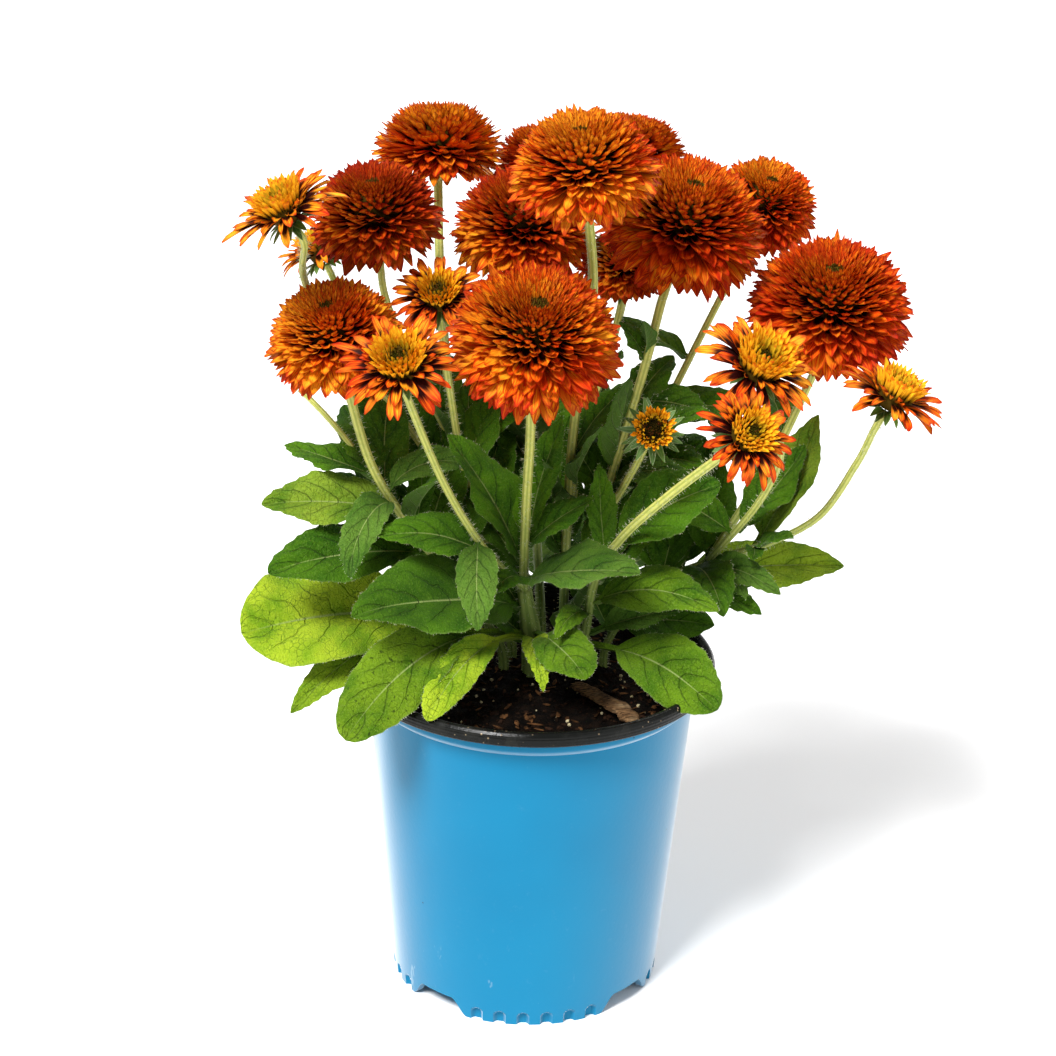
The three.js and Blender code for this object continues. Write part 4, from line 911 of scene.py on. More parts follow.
def leaf_material():
    """Downy green leaves with a pale midrib, side veins, and a net that shows where the leaf is yellow."""
    t = Tree("leaf")
    along, across, chance, face = t.values("along across chance face")
    flat = t.vector("flat")
    tones = t.node("ShaderNodeSeparateXYZ", 0, i0=t.vector("tone")).node.outputs
    side = t.math("ABSOLUTE", across)
    bow = t.times(t.math("POWER", side, 1.15), VEIN_BOW)
    veins = t.times(t.math("SUBTRACT", along, bow), float(SIDE_VEINS))
    wobble = t.scaled(t.noise(flat, 0.12, 2.0), 0.6, -0.3)
    veins = t.math("FRACT", t.plus(t.plus(veins, wobble), 100.0))
    near = t.math("MINIMUM", veins, t.math("SUBTRACT", 1.0, veins))
    side_vein = t.times(t.span(near, 0.055, 0.0), t.span(side, 0.95, 0.4))
    midrib = t.span(side, t.span(along, 0.0, 1.0, 0.05, 0.025), 0.0)
    midrib = t.times(midrib, t.span(along, 1.0, 0.55, 0.25, 1.0))
    net = t.times(t.span(t.cells(flat, 0.36), 0.08, 0.0), t.span(t.noise(flat, 0.2, 1.0), 0.3, 0.6))
    fine_net = t.span(t.cells(flat, 0.95), 0.13, 0.0)
    patches = t.noise(flat, 0.05, 3.0, 0.6)
    mottle = t.noise(flat, 0.45, 3.0, 0.65)
    down = t.noise(flat, 1.3, 3.0, 0.7)
    green = t.mix(t.span(patches, 0.32, 0.66), (0.020, 0.078, 0.0015), (0.084, 0.208, 0.004))
    green = t.mix(t.span(mottle, 0.4, 0.7, 0.0, 0.3), green, (0.070, 0.165, 0.005))
    green = t.mix(t.times(chance, 0.3), green, (0.030, 0.105, 0.003))
    # Painted shade: the tone's darkening darkens leaves that sit deep in the plant or under others.
    green = t.mix(t.times(tones[2], 0.6), green, (0.012, 0.042, 0.0012))
    grey = t.mix(t.span(patches, 0.3, 0.7), (0.045, 0.115, 0.012), (0.120, 0.205, 0.040))
    green = t.mix(t.times(tones[1], 0.8), green, grey)
    yellow = t.mix(t.span(patches, 0.30, 0.62), (0.15, 0.30, 0.006), (0.42, 0.55, 0.025))
    green = t.mix(tones[0], green, yellow)
    vein_colour = t.mix(tones[0], (0.060, 0.13, 0.016), (0.075, 0.21, 0.005))
    upper = t.mix(t.times(net, t.span(tones[0], 0.2, 0.9, 0.05, 0.55)), green, vein_colour)
    upper = t.mix(t.times(fine_net, 0.12), upper, vein_colour)
    # Painted shade: the green leaves darken along the grooves of their side veins.
    groove = t.times(t.span(near, 0.16, 0.02), t.span(side, 1.0, 0.4))
    upper = t.mix(t.times(groove, t.span(tones[0], 0.0, 0.5, 0.16, 0.0)), upper, (0.008, 0.030, 0.001))
    # Painted highlight: the humps between the side veins are lighter.
    hump_highlight = t.times(t.span(near, 0.2, 0.5), t.span(mottle, 0.35, 0.65))
    upper = t.mix(t.times(hump_highlight, 0.35), upper, t.mix(tones[0], (0.080, 0.19, 0.006), (0.42, 0.52, 0.02)))
    upper = t.mix(t.times(side_vein, t.span(tones[0], 0.2, 0.9, 0.18, 0.16)), upper, vein_colour)
    downy = t.mix(tones[0], (0.16, 0.27, 0.05), (0.45, 0.55, 0.08))
    upper = t.mix(t.span(down, 0.53, 0.68, 0.0, 0.42), upper, downy)
    upper = t.mix(t.span(down, 0.47, 0.32, 0.0, 0.42), upper, (0.010, 0.040, 0.001))
    upper = t.mix(t.times(midrib, 0.85), upper, (0.32, 0.40, 0.13))
    spots = t.times(t.span(t.noise(flat, 0.35, 2.0, 0.7), 0.60, 0.70), t.span(tones[0], 0.1, 0.2))
    spots = t.times(spots, t.span(tones[2], 0.05, 0.1))
    upper = t.mix(t.times(spots, 0.7), upper, (0.008, 0.016, 0.002))
    upper = t.mix(t.span(side, 0.94, 1.0, 0.0, 0.3), upper, (0.19, 0.26, 0.07))
    under = t.mix(0.5, green, (0.12, 0.19, 0.05))
    under = t.mix(t.math("MAXIMUM", side_vein, midrib), under, (0.22, 0.29, 0.10))
    color = t.mix(face, under, upper)
    height = t.plus(t.times(net, -0.35), t.times(side_vein, -0.9))
    height = t.plus(height, t.times(down, 1.1))
    return t.finish(color, t.span(patches, 0.3, 0.7, 0.5, 0.64), t.bump(height, 1.0, 0.0011),
                    Specular_IOR_Level=0.08, Sheen_Weight=0.01, Sheen_Roughness=0.4)


def stem_material():
    t = Tree("stem")
    around, pale = t.values("around pale")
    grain = t.noise(t.place(), 320.0, 3.0, 0.6)
    lines = t.span(around, -1.0, 0.1)
    fresh = t.mix(lines, (0.17, 0.22, 0.025), (0.52, 0.52, 0.13))
    low = t.mix(lines, (0.07, 0.13, 0.018), (0.21, 0.28, 0.07))
    color = t.mix(pale, low, fresh)
    color = t.mix(t.span(grain, 0.4, 0.7, 0.0, 0.3), color, (0.14, 0.21, 0.04))
    return t.finish(color, 0.55, t.bump(grain, 0.25, 0.0004), Specular_IOR_Level=0.2)


def bract_material():
    t = Tree("bract")
    along, across, chance, face = t.values("along across chance face")
    rib = t.span(t.math("ABSOLUTE", across), 0.2, 0.0)
    green = t.mix(chance, (0.028, 0.085, 0.003), (0.06, 0.145, 0.008))
    green = t.mix(t.times(rib, 0.4), green, (0.17, 0.24, 0.06))
    green = t.mix(t.span(t.math("ABSOLUTE", across), 0.6, 1.0, 0.0, 0.85), green, (0.24, 0.31, 0.12))
    green = t.mix(t.span(face, 1.0, 0.0, 0.0, 0.5), green, (0.13, 0.19, 0.055))
    grain = t.noise(t.combine(across, t.times(along, 4.0), t.times(chance, 9.0)), 6.0, 3.0)
    return t.finish(green, 0.6, t.bump(grain, 0.3, 0.0004))


def hair_material():
    t = Tree("hair")
    grain = t.noise(t.place(), 60.0, 2.0)
    return t.finish(t.mix(grain, (0.52, 0.56, 0.34), (0.68, 0.70, 0.50)), 0.5)


def pot_material():
    """Satin blue plastic with faint scuffs, dust and dirt specks."""
    t = Tree("pot_blue")
    place = t.place()
    cloud = t.noise(place, 9.0, 3.0, 0.55)
    color = t.mix(t.span(cloud, 0.3, 0.7), (0.0, 0.150, 0.290), (0.0, 0.170, 0.320))
    dust = t.span(t.noise(place, 190.0, 4.0, 0.75), 0.60, 0.76, 0.0, 0.22)
    color = t.mix(dust, color, (0.06, 0.22, 0.37))
    speck = t.span(t.cells(place, 90.0, "F1"), 0.05, 0.025, 0.0, 0.85)
    rare = t.span(t.noise(place, 60.0, 1.0), 0.62, 0.66)
    color = t.mix(t.times(speck, rare), color, (0.006, 0.012, 0.02))
    low = t.span(t.node("ShaderNodeSeparateXYZ", 2, i0=place), 0.05, 0.0)
    scuff = t.span(t.noise(t.mapped(place, (1.0, 1.0, 0.35)), 170.0, 3.0, 0.7), 0.66, 0.72)
    color = t.mix(t.times(t.times(scuff, low), 0.5), color, (0.28, 0.40, 0.48))
    skin = t.noise(place, 420.0, 3.0, 0.6)
    return t.finish(color, t.span(cloud, 0.3, 0.75, 0.3, 0.4), t.bump(skin, 0.10, 0.0004),
                    Specular_IOR_Level=0.12, Sheen_Weight=1.0, Sheen_Roughness=0.34)


def lip_material():
    """Black recycled plastic with fine grains and dusty film."""
    t = Tree("pot_black")
    place = t.place()
    dust = t.noise(place, 70.0, 4.0, 0.65)
    color = t.mix(t.span(dust, 0.45, 0.75, 0.0, 0.5), (0.004, 0.0045, 0.004), (0.022, 0.022, 0.018))
    specks = t.span(t.cells(place, 420.0, "F1"), 0.22, 0.12, 0.0, 0.8)
    rare = t.span(t.noise(place, 120.0, 1.0), 0.54, 0.62)
    color = t.mix(t.times(specks, rare), color, (0.30, 0.22, 0.13))
    tall = t.node("ShaderNodeSeparateXYZ", 2, i0=place)
    lines = t.math("SINE", t.times(tall, 4200.0))
    relief = t.scaled(lines, 0.5, t.noise(place, 700.0, 2.0))
    roughness = t.span(dust, 0.3, 0.7, 0.12, 0.34)
    return t.finish(color, roughness, t.bump(relief, 0.3, 0.0004), Specular_IOR_Level=0.13)


def soil_material(name, low, high, scale):
    t = Tree(name)
    place = t.place()
    coarse, fine = t.noise(place, scale, 4.0, 0.65), t.noise(place, scale * 6, 3.0, 0.7)
    color = t.mix(t.span(coarse, 0.35, 0.68), low, high)
    color = t.mix(t.span(fine, 0.62, 0.78, 0.0, 0.6), color, tuple(min(1.0, 2.4 * c) for c in high))
    height = t.plus(coarse, t.times(fine, 0.5))
    roughness = t.span(fine, 0.3, 0.7, 0.6, 0.95)
    return t.finish(color, roughness, t.bump(height, 1.0, 0.0016), Specular_IOR_Level=0.05)


def bark_material():
    """Brown fibres along the strip, with pale patches."""
    t = Tree("bark")
    place = t.place()
    fibre = t.noise(t.mapped(place, (0.22, 1.6, 1.0), 52), 900.0, 4.0, 0.65)
    color = t.mix(t.span(fibre, 0.35, 0.65), (0.022, 0.010, 0.004), (0.22, 0.120, 0.052))
    color = t.mix(t.span(t.noise(place, 120.0, 2.0), 0.5, 0.72, 0.0, 0.6), color, (0.34, 0.23, 0.12))
    return t.finish(color, 0.75, t.bump(fibre, 1.0, 0.0016), Specular_IOR_Level=0.1)


def floor_material():
    t = Tree("floor")
    color = t.mix(t.noise(t.place(), 0.4, 1.0), (0.90, 0.90, 0.90), (0.92, 0.92, 0.92))
    return t.finish(color, 0.75, Specular_IOR_Level=0.2)


# Pot
def pot_base_edge(azimuth):
    """Height of the wall's foot: 0 on the feet, rising in S-curves to the top of each arch."""
    off = (azimuth - FIRST_ARCH_AZIMUTH + FOOT_PITCH / 2) % FOOT_PITCH - FOOT_PITCH / 2
    across = np.abs(np.radians(off) * BASE_RADIUS)
    return ARCH_HEIGHT * smooth(1.0, ARCH_TOP_SHARE, across / ARCH_HALF_WIDTH)


def flute_depth(azimuth, height):
    """How far the wall is pressed in at the short flutes round the feet."""
    off = (azimuth - FIRST_ARCH_AZIMUTH) % FOOT_PITCH
    first = (FOOT_PITCH - (FLUTES_PER_FOOT - 1) * FLUTE_PITCH) / 2
    number = np.clip(np.round((off - first) / FLUTE_PITCH), 0, FLUTES_PER_FOOT - 1)
    across = np.radians(off - first - number * FLUTE_PITCH) * BASE_RADIUS / FLUTE_HALF_WIDTH
    reach = np.hypot(across, np.clip(height - FLUTE_HEIGHT + FLUTE_HALF_WIDTH, 0, None) / FLUTE_HALF_WIDTH)
    return FLUTE_DEPTH * smooth(1.0, 0.66, reach)


def make_pot(blue, black):
    """The pot, turned from a profile of radii and heights: up the outside, over the lip, down and under."""
    azimuth = np.linspace(-180, 180, POT_COLUMNS, endpoint=False)
    edge = pot_base_edge(azimuth)
    slope = (SHOULDER_RADIUS - BASE_RADIUS) / SHOULDER_HEIGHT
    collar_top = POT_HEIGHT - LIP_HEIGHT
    foot_inside = BASE_RADIUS - FOOT_THICKNESS
    outside = []
    for z in np.concatenate([np.linspace(0, 10, 16), np.geomspace(11, SHOULDER_HEIGHT, 10)]):
        height = edge + z * (1 - edge / SHOULDER_HEIGHT)
        outside.append((BASE_RADIUS + slope * height - flute_depth(azimuth, height), height))
    outside += [
        (SHOULDER_RADIUS + 0.4, SHOULDER_HEIGHT + 0.35), (SHOULDER_RADIUS + 0.9, SHOULDER_HEIGHT + 0.8),
        (COLLAR_RADIUS - 0.9, SHOULDER_HEIGHT + 2.1), (COLLAR_RADIUS - 0.35, SHOULDER_HEIGHT + 2.7),
        (COLLAR_RADIUS - 0.1, SHOULDER_HEIGHT + 3.4), (COLLAR_RADIUS, SHOULDER_HEIGHT + 4.2),
        (COLLAR_RADIUS + 0.15, collar_top - 1.6), (COLLAR_RADIUS + 0.3, collar_top - 0.3),
        (COLLAR_RADIUS + 0.9, collar_top - 0.05),
    ]
    lip = [(RIM_RADIUS - 1.6, collar_top), (RIM_RADIUS - 0.7, collar_top + 0.25),
           (RIM_RADIUS - 0.15, collar_top + 1.0)]
    for bend in np.radians(np.arange(7) * 22 - 20):
        lip.append((RIM_RADIUS - 2.4 + 2.4 * math.cos(bend), collar_top + 3.7 + 2.9 * math.sin(bend)))
    inside = [
        (RIM_RADIUS - 4.3, POT_HEIGHT - 0.9), (RIM_RADIUS - 4.6, POT_HEIGHT - 2.2),
        (RIM_RADIUS - 4.9, collar_top + 1.8), (RIM_RADIUS - 5.6, collar_top + 1.0),
        (COLLAR_RADIUS - 1.6, collar_top + 0.6), (COLLAR_RADIUS - 2.0, collar_top - 0.6),
        (COLLAR_RADIUS - 2.2, SHOULDER_HEIGHT + 3.4), (COLLAR_RADIUS - 3.0, SHOULDER_HEIGHT + 2.6),
        (SHOULDER_RADIUS - WALL - 0.3, SHOULDER_HEIGHT + 2.0),
        (SHOULDER_RADIUS - WALL - 0.6, SHOULDER_HEIGHT),
    ]
    for height in (120.0, 80.0, 40.0, FLOOR_HEIGHT + 1.6):
        inside.append((BASE_RADIUS + slope * height - WALL, height))
    inside += [(BASE_RADIUS - WALL - 2, FLOOR_HEIGHT), (HUB_RADIUS, FLOOR_HEIGHT)]
    under = [(HUB_RADIUS, 0.0), (CENTRE_PAD_RADIUS, 0.0), (CENTRE_PAD_RADIUS + 1.5, FLOOR_HEIGHT - WALL),
             (foot_inside, FLOOR_HEIGHT - WALL)]
    for part in (0.35, 0.7, 1.0):
        under.append((foot_inside, edge + (FLOOR_HEIGHT - WALL - edge) * (1 - part)))
    profile = outside + lip + inside + under
    points = np.array([polar(radius, np.radians(azimuth), height) for radius, height in profile])
    ids = ring_ids(len(profile), POT_COLUMNS)
    quads = grid_quads(np.concatenate([ids, ids[:1]]), flip=True)
    black_start, black_end = len(outside) - 1, len(profile) - len(under)
    quads = quads[quads[:, 0] // POT_COLUMNS != black_end - 1]
    row = quads[:, 0] // POT_COLUMNS
    middle = len(profile) * POT_COLUMNS
    tris = np.concatenate([fan(middle, ids[black_end - 1]), fan(middle + 1, ids[black_end], flip=True)])
    is_black = np.concatenate([(row >= black_start) & (row < black_end), np.arange(len(tris)) < POT_COLUMNS])
    shape = Shape()
    shape.add(np.vstack([points.reshape(-1, 3), (0, 0, FLOOR_HEIGHT), (0, 0, 0)]), quads, tris)
    shape.make("pot_shell", "pot", [blue, black], sharp=35.0, replaces="pot", face_slots=is_black)


# Soil
NOISE_SIZE = 64
SOIL_RINGS = 56
SOIL_COLUMNS = 200
LITTER_SEED = 71
# Crumbs: how many, and the smallest and largest of them
CRUMBS = [(1100, 0.5, 1.1), (420, 1.0, 2.0), (70, 1.8, 3.0)]
CHIP_COUNT = 170
PERLITE_COUNT = 95
# Corners and faces of an icosahedron, to be squashed and roughened into crumbs
GOLDEN = (1 + 5 ** 0.5) / 2
CHUNK_CORNERS = np.array([
    (-1, GOLDEN, 0), (1, GOLDEN, 0), (-1, -GOLDEN, 0), (1, -GOLDEN, 0), (0, -1, GOLDEN), (0, 1, GOLDEN),
    (0, -1, -GOLDEN), (0, 1, -GOLDEN), (GOLDEN, 0, -1), (GOLDEN, 0, 1), (-GOLDEN, 0, -1), (-GOLDEN, 0, 1),
]) / math.hypot(1, GOLDEN)
CHUNK_FACES = np.array([
    (0, 11, 5), (0, 5, 1), (0, 1, 7), (0, 7, 10), (0, 10, 11), (1, 5, 9), (5, 11, 4), (11, 10, 2), (10, 7, 6),
    (7, 1, 8), (3, 9, 4), (3, 4, 2), (3, 2, 6), (3, 6, 8), (3, 8, 9), (4, 9, 5), (2, 4, 11), (6, 2, 10),
    (8, 6, 7), (9, 8, 1),
])


def hash_noise(x, y, seed):
    """Smooth value noise on a unit grid."""
    table = np.random.default_rng(seed).uniform(-1, 1, (NOISE_SIZE, NOISE_SIZE))
    i, j = np.floor(x).astype(int), np.floor(y).astype(int)
    fx, fy = smooth(0, 1, x - i), smooth(0, 1, y - j)
    i, i_next, j, j_next = (k % NOISE_SIZE for k in (i, i + 1, j, j + 1))
    low = table[i, j] * (1 - fx) + table[i_next, j] * fx
    high = table[i, j_next] * (1 - fx) + table[i_next, j_next] * fx
    return low * (1 - fy) + high * fy


def soil_top(x, y):
    mound = SOIL_MOUND * np.clip(1 - (np.hypot(x, y) / MOUND_REACH) ** 2, 0, None)
    rough = 1.1 * hash_noise(x / 9 + 7, y / 9 + 3, 5) + 0.9 * hash_noise(x / 4 + 2, y / 4, 6)
    rough = rough + 0.55 * hash_noise(x / 1.7, y / 1.7, 7) + 0.3 * hash_noise(x / 0.9, y / 0.9, 8)
    return SOIL_HEIGHT + mound + rough - 0.6


def scatter(rng, count, inner, outer, lift):
    """Places on the soil between two radii, lifted a little."""
    radius = np.sqrt(rng.uniform(inner ** 2, outer ** 2, count))
    turn = rng.uniform(0, 2 * np.pi, count)
    return polar(radius, turn, soil_top(radius * np.cos(turn), radius * np.sin(turn)) + lift)


def add_chunks(shape, rng, places, sizes, tilting):
    """Rough crumbs with half sizes (n, 3), turned at random."""
    n, corners = len(places), len(CHUNK_CORNERS)
    body = CHUNK_CORNERS[None] * (1 + rng.normal(0, 0.16, (n, corners, 1))) * sizes[:, None]
    turn = rng.uniform(0, 2 * np.pi, n)[:, None]
    tilt = rng.normal(0, tilting, n)[:, None]
    y = body[..., 1] * np.cos(tilt) - body[..., 2] * np.sin(tilt)
    z = body[..., 1] * np.sin(tilt) + body[..., 2] * np.cos(tilt)
    x, y = body[..., 0] * np.cos(turn) - y * np.sin(turn), body[..., 0] * np.sin(turn) + y * np.cos(turn)
    shape.add(np.stack([x, y, z], -1) + places[:, None], tris=copies(CHUNK_FACES, n, corners))


def make_soil():
    """The soil bed, with crumbs, bark chips and perlite on it."""
    radii = np.concatenate([np.linspace(0.6, SOIL_RADIUS - 0.9, SOIL_RINGS), [SOIL_RADIUS]])[:, None]
    turn = even_turns(SOIL_COLUMNS)
    top = polar(radii, turn, soil_top(radii * np.cos(turn), radii * np.sin(turn)))
    wall = [(SOIL_RADIUS, SOIL_HEIGHT - 6), (BASE_RADIUS - WALL - 2.2, FLOOR_HEIGHT + 3),
            (HUB_RADIUS, SOIL_BOTTOM)]
    wall = [polar(radius, turn, height) for radius, height in wall]
    bed, crumbs, chips, perlite = Shape(), Shape(), Shape(), Shape()
    middles = [(0, 0, soil_top(0.0, 0.0)), (0, 0, SOIL_BOTTOM)]
    add_rings(bed, np.concatenate([top, wall]), middles, flip=False)
    rng = np.random.default_rng(LITTER_SEED)
    for count, low, high in CRUMBS:
        places = scatter(rng, count, 0, SOIL_RADIUS - 2.5, 0.25 * low)
        sizes = rng.uniform(low, high, (count, 1)) * rng.uniform(0.5, 1.0, (count, 3)) * [1.2, 0.8, 0.55]
        add_chunks(crumbs, rng, places, sizes, 0.6)
    places = scatter(rng, CHIP_COUNT, 10, SOIL_RADIUS - 4, 0.5)
    sizes = [rng.uniform(low, high, CHIP_COUNT) for low, high in ((1.6, 4.6), (0.4, 1.3), (0.2, 0.5))]
    sizes = np.stack(sizes, -1)
    add_chunks(chips, rng, places, sizes, 0.25)
    places = scatter(rng, PERLITE_COUNT, 12, SOIL_RADIUS - 3, 0.35)
    sizes = rng.uniform(0.45, 1.15, (PERLITE_COUNT, 1)) * rng.uniform(0.75, 1.0, (PERLITE_COUNT, 3))
    add_chunks(perlite, rng, places, sizes, 1.0)
    look = soil_material("soil", (0.001, 0.0007, 0.0005), (0.006, 0.0032, 0.0018), 180.0)
    bed.make("soil_bed", "soil", [look], sharp=None, replaces="soil")
    look = soil_material("crumb", (0.002, 0.0012, 0.0007), (0.022, 0.010, 0.005), 90.0)
    crumbs.make("soil_crumbs", "soil", [look], sharp=25.0)
    look = soil_material("chip", (0.020, 0.009, 0.0035), (0.12, 0.054, 0.020), 140.0)
    chips.make("bark_chips", "bark", [look], sharp=25.0)
    look = soil_material("perlite", (0.26, 0.21, 0.11), (0.60, 0.52, 0.32), 300.0)
    perlite.make("perlite", "soil", [look], sharp=30.0)


BARK_ROUTE = [(20, -14, 147), (30, -27, 147.5), (40, -40, 147.5), (46, -52, 147)]
BARK_HALF_WIDTH = 4.0
BARK_HALF_HEIGHT = 1.25
BARK_COLUMNS = 28
BARK_SEED = 12


def make_bark():
    """The torn strip of dead stem that lies on the soil at the front right."""
    rng = np.random.default_rng(BARK_SEED)
    line = curve_points(BARK_ROUTE, 22)
    flat = np.cross(np.gradient(line, axis=0), UP)
    flat /= np.linalg.norm(flat, axis=1, keepdims=True)
    part = np.linspace(0, 1, len(line))[:, None]
    turn = even_turns(BARK_COLUMNS)
    wide = BARK_HALF_WIDTH * (0.55 + 0.6 * np.sin(np.pi * np.clip(part * 0.9 + 0.08, 0, 1)))
    wide = wide * (1 + 0.1 * hash_noise(part * 14, part * 0, 3))
    wide = wide * (1 + 0.32 * np.exp(-((part - 0.84) / 0.06) ** 2)) * np.interp(part, [0.93, 1], [1, 0.55])
    high = BARK_HALF_HEIGHT * (1 + 0.2 * hash_noise(part * 9, part * 0 + 4, 4))
    furrow = hash_noise(turn * 5.5, part * 5, 9)
    radial = 1 + 0.22 * furrow + 0.08 * hash_noise(turn * 16, part * 22, 10)
    across = wide * np.cos(turn) * radial
    above = high * np.sin(turn) * radial + 0.6
    rings = line[:, None] + flat[:, None] * across[..., None] + UP * above[..., None]
    for end, torn in ((0, 0.8), (-1, 0.6)):
        rings[end] += rng.normal(0, torn, (BARK_COLUMNS, 3)) * [1, 1, 0.3]
    shape = Shape()
    add_rings(shape, rings, [rings[0].mean(0), rings[-1].mean(0)])
    shape.make("bark_piece", "bark", [bark_material()], sharp=None, replaces="bark_strip")


# Heads
HEAD_SEED = 400
CORE_SIDES = 20
# Eye of each kind of head: radius and height as parts of the head's radius, spikes, and level of colour
EYES = {"dome": (0.12, 0.51, 60, 1.0), "daisy": (0.13, 0.25, 40, 0.3), "bud": (0.44, 0.30, 70, 0.0)}
# Core of each kind of head: the middle and edge of its foot in millimetres, then the other rings and the
# height of its top, as parts of the head's radius
CORES = {
    "dome": (-6, (6, -6.5), [(0.25, -0.16), (0.36, 0.0), (0.37, 0.14), (0.31, 0.34), (0.18, 0.46)], 0.44),
    "daisy": (-5, (5, -4.5), [(0.3, -0.08), (0.36, 0.04), (0.3, 0.18), (0.2, 0.26)], 0.22),
    "bud": (-4, (4, -3.6), [(0.66, -0.1), (0.74, 0.1), (0.5, 0.3)], 0.26),
}
# Bracts under each kind of head: reach, degrees above level at foot and tip, width, and the hairs on them
BRACTS = {"dome": (14, 4, -46, 3.6, 90), "daisy": (14, 4, -46, 3.6, 90), "bud": (16, 4, -6, 3.6, 220),
          "green": (10, 62, 20, 3.0, 90)}
BRACTS_PER_ROW = 8
BRACT_FOOT = 2.6


def add_core(shape, kind, radius, turn, at):
    """The hidden receptacle that the petals stand on."""
    foot, edge, rings, top = CORES[kind]
    rings = [edge] + [(r * radius, h * radius) for r, h in rings]
    rings = np.array([polar(r, even_turns(CORE_SIDES), h) for r, h in rings])
    ends = np.array([(0, 0, foot), (0, 0, top * radius)])
    add_rings(shape, rings @ turn.T + at, ends @ turn.T + at, along=0.0, chance=0.2, level=1.0)


def add_eye(shape, rng, kind, radius, turn, at):
    """The spikes of the disc."""
    part, height, spikes, level = EYES[kind]
    eye = part * radius
    around, share = spiral(spikes)
    feet = polar(share * eye, around, height * radius - 0.25 * eye * (1 - share ** 2))
    tips = feet * [0.9, 0.9, 1.0] + UP * 0.36 * eye
    tips[:, 2] += rng.uniform(-0.1, 0.2, spikes) * eye
    add_cones(shape, feet @ turn.T + at, tips @ turn.T + at, 0.972 * eye / math.sqrt(spikes),
              chance=rng.uniform(0, 1, spikes), level=level)


def make_heads():
    quill_look, disc_look = quill_material(), disc_material()
    for name, (kind, at, radius, lean, towards, tones) in BLOOMS.items():
        rng = np.random.default_rng(HEAD_SEED + int(name))
        turn, _ = bloom_turn(lean, towards)
        at = np.array(at, float)
        rays, quills, disc = Shape(), Shape(), Shape()
        if kind == "dome":
            dome_head(rays, rng, radius, name in NEAR_DOMES, turn, at)
        elif kind == "daisy":
            daisy_head(rays, quills, rng, radius, turn, at)
        else:
            bud_head(quills, rng, radius, turn, at)
        add_core(disc, kind, radius, turn, at)
        add_eye(disc, rng, kind, radius, turn, at)
        node = f"bloom_{name}"
        if rays.count:
            look = petal_material(f"petal_{name}", kind == "daisy", *tones)
            rays.make(f"petals_{name}", "petal", [look], replaces=node)
        if quills.count:
            quills.make(f"quills_{name}", "petal", [quill_look], replaces=None if rays.count else node)
        slot = "eye_dark" if kind == "dome" else "eye_pale"
        disc.make(f"disc_{name}", slot, [disc_look], sharp=50.0, replaces=f"eye_{name}")


# Shoots
SHOOT_SEED = 900
# Heights on a stem, and its thickness there
STEM_TAPER = ([130, 190, 300], [0.9, 0.78, 0.76])
BASE_TAPER = ([130, 170, 190], [1.05, 1.0, 0.62])
# Stems grow paler between these heights
PALE_HEIGHTS = (175, 250)


def add_bracts(shape, hairs, rng, kind, turn, at, drop):
    """Green bracts in two rows under a head."""
    reach, start, end, wide, hair_count = BRACTS[kind]
    count = BRACTS_PER_ROW
    for row in (0, 1):
        azimuth = (np.arange(count) + 0.5 * row) * 2 * np.pi / count + rng.normal(0, 0.1, count)
        length = rng.uniform(0.82, 1.05, count) * (reach - BRACT_FOOT - 1.2 * row)
        add_petals(shape, rng, azimuth, (BRACT_FOOT, -drop - 0.6 - 0.5 * row),
                   np.radians(start + rng.normal(0, 5, count)), np.radians(end + rng.normal(0, 10, count)),
                   length, wide, 0.45, 0.5, 7, 3, turn=turn, at=at, waist=0.75, widest=0.35, blunt=0.0,
                   thickness=0.5)
    around = rng.uniform(0, 2 * np.pi, hair_count)
    radius = rng.uniform(0.25, 1.0, hair_count) * reach
    slope = math.radians(0.5 * (start + end))
    feet = polar(radius, around, -drop + radius * math.sin(slope) * 0.8)
    ways = polar(0.5, around, 0.3) + rng.normal(0, 0.5, (hair_count, 3))
    add_hairs(hairs, feet @ turn.T + at, ways @ turn.T, rng.uniform(0.8, 1.6, hair_count), FINE_HAIR)


def leaf_rows(table, names):
    return [(stem, *row) for stem, rows in table if stem in names for row in rows]


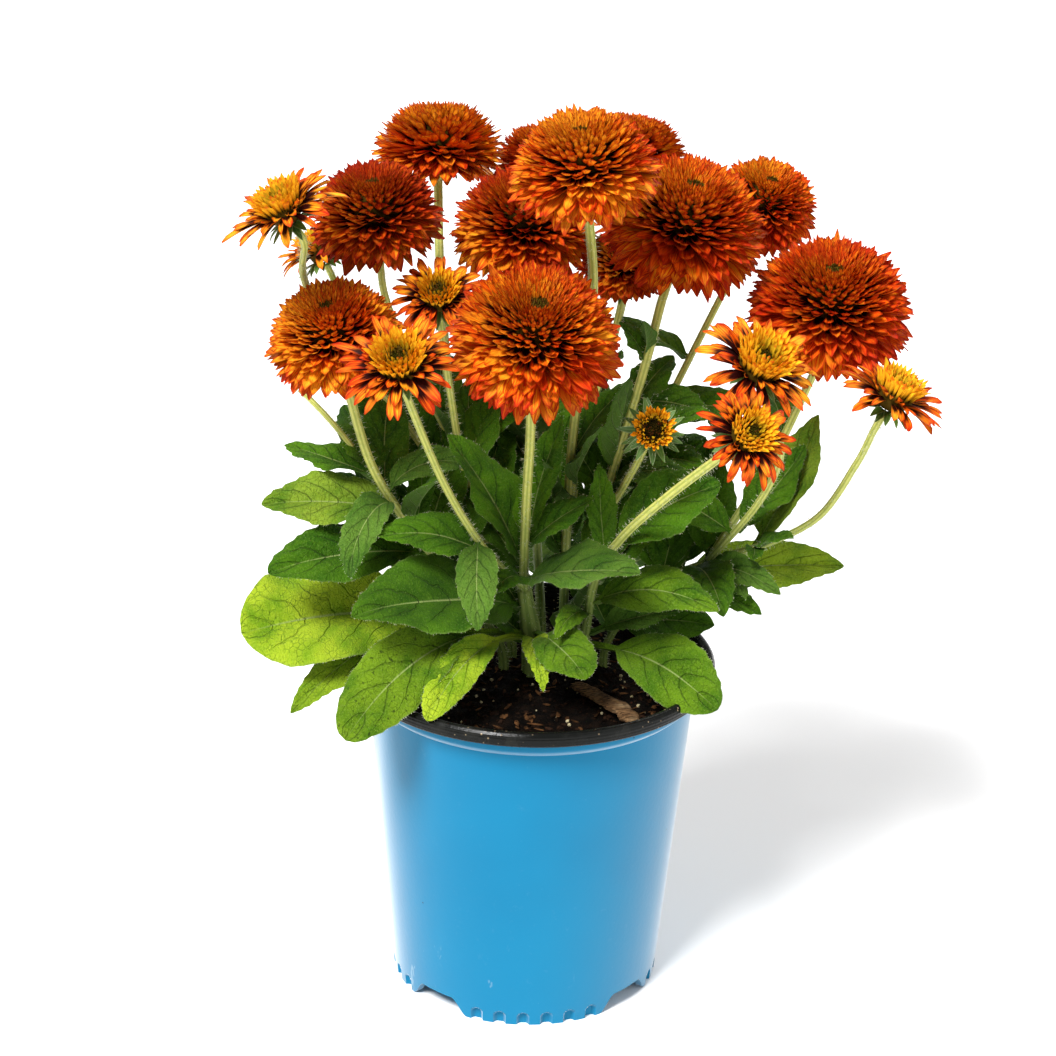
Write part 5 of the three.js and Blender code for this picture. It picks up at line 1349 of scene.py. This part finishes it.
def make_shoots():
    """Each shoot: its stems, the bracts under its blooms, its leaves, and the hairs on them all."""
    stem_look, bract_look = stem_material(), bract_material()
    leaf_look, hair_look = leaf_material(), hair_material()
    for number, shoot in enumerate(dict.fromkeys(row[0] for row in STEMS.values())):
        rng = np.random.default_rng(SHOOT_SEED + number)
        stems, bracts, leaves, hairs = Shape(), Shape(), Shape(), Shape()
        names = [name for name in STEMS if STEMS[name][0] == shoot]
        for name in names:
            _, radius, top, _ = STEMS[name]
            line = stem_route(name)
            swell = 1 + 0.12 * np.exp(-((np.linspace(0, 1, len(line)) - 1) / 0.06) ** 2)
            taper = np.interp(line[:, 2], *(BASE_TAPER if name == "centre_base" else STEM_TAPER))
            add_stem(stems, line, radius * swell * taper, smooth(*PALE_HEIGHTS, line[:, 2]))
            add_stem_hairs(hairs, rng, line, radius)
            if top in BLOOMS:
                kind, at, _, lean, towards, _ = BLOOMS[top]
                turn, _ = bloom_turn(lean, towards)
                add_bracts(bracts, hairs, rng, kind, turn, np.array(at, float), SEATS[kind])
            elif top == "green":
                add_bracts(bracts, hairs, rng, "green", np.eye(3), line[-1] + [0, 0, 3.0], 0.0)
        for stem, height, *form, tone in leaf_rows(LEAVES, names):
            blunt = BLUNT_LEAVES.get((stem, height), 0.0)
            add_leaf(leaves, hairs, rng, stem_at_height(stem, height), *form, tone, blunt, LEAF_GRID)
        for stem, height, *form, tone in leaf_rows(INNER_LEAVES, names):
            foot = stem_at_height(stem, height)
            add_leaf(leaves, hairs, rng, foot, *form, INNER_STALK, tone, 0.0, INNER_LEAF_GRID)
        stems.make(f"stems_{shoot}", "foliage", [stem_look], sharp=None, replaces=f"shoot_{shoot}")
        leaves.make(f"leaves_{shoot}", "foliage", [leaf_look], sharp=100.0)
        bracts.make(f"bracts_{shoot}", "foliage", [bract_look])
        hairs.make(f"hairs_{shoot}", "foliage", [hair_look], sharp=None)


# Camera, lights and floor
CAMERA_PLACE = (-3.05, -1223.15, 721.64)
CAMERA_PITCH = math.radians(22.43)
CAMERA_ROLL = math.radians(1.39)
CAMERA_LENS = 102.27
SENSOR_WIDTH = 36.0
# Wide, soft suns: where each shines from, how many degrees wide it looks, and its strength
SUNS = {
    "key": ((-0.6, -0.9, 1.35), 20, 5.4),
    "fill": ((1.2, -0.7, 0.7), 60, 0.8),
    "rim": ((0.5, 1.2, 1.3), 40, 1.2),
}
WORLD_STRENGTH = 0.44
FLOOR_REACH = 9.0


def make_camera():
    data = bpy.data.cameras.new("camera")
    data.sensor_width, data.lens = SENSOR_WIDTH, CAMERA_LENS
    data.clip_start, data.clip_end = 0.01, 50.0
    camera = bpy.data.objects.new("camera", data)
    back = np.array([0.0, -math.cos(CAMERA_PITCH), math.sin(CAMERA_PITCH)])
    right = np.array([1.0, 0.0, 0.0])
    up = np.cross(right, -back)
    across = right * math.cos(CAMERA_ROLL) + up * math.sin(CAMERA_ROLL)
    above = -right * math.sin(CAMERA_ROLL) + up * math.cos(CAMERA_ROLL)
    turn = np.eye(4)
    turn[:3, :3] = np.stack([across, above, back], 1)
    turn[:3, 3] = np.array(CAMERA_PLACE) * MM
    camera.matrix_world = Matrix(turn.tolist())
    bpy.context.scene.collection.objects.link(camera)
    bpy.context.scene.camera = camera


def make_stage():
    mesh = bpy.data.meshes.new("floor")
    corners = [(x * FLOOR_REACH, y * FLOOR_REACH, 0) for x, y in ((-1, -1), (1, -1), (1, 1), (-1, 1))]
    mesh.from_pydata(corners, [], [(0, 1, 2, 3)])
    mesh.materials.append(floor_material())
    floor = bpy.data.objects.new("floor", mesh)
    bpy.context.scene.collection.objects.link(floor)
    for name, (place, spread, strength) in SUNS.items():
        data = bpy.data.lights.new(name, "SUN")
        data.angle, data.energy = math.radians(spread), strength
        light = bpy.data.objects.new(name, data)
        light.location = place
        light.rotation_euler = Vector(place).to_track_quat("Z", "Y").to_euler()
        bpy.context.scene.collection.objects.link(light)
    world = bpy.data.worlds.new("studio")
    world.use_nodes = True
    background = world.node_tree.nodes["Background"]
    background.inputs["Color"].default_value = (1, 1, 1, 1)
    background.inputs["Strength"].default_value = WORLD_STRENGTH
    bpy.context.scene.world = world
    bpy.context.scene.view_settings.view_transform = "Standard"


make_camera()
make_pot(pot_material(), lip_material())
make_soil()
make_bark()
make_heads()
make_shoots()
make_stage()
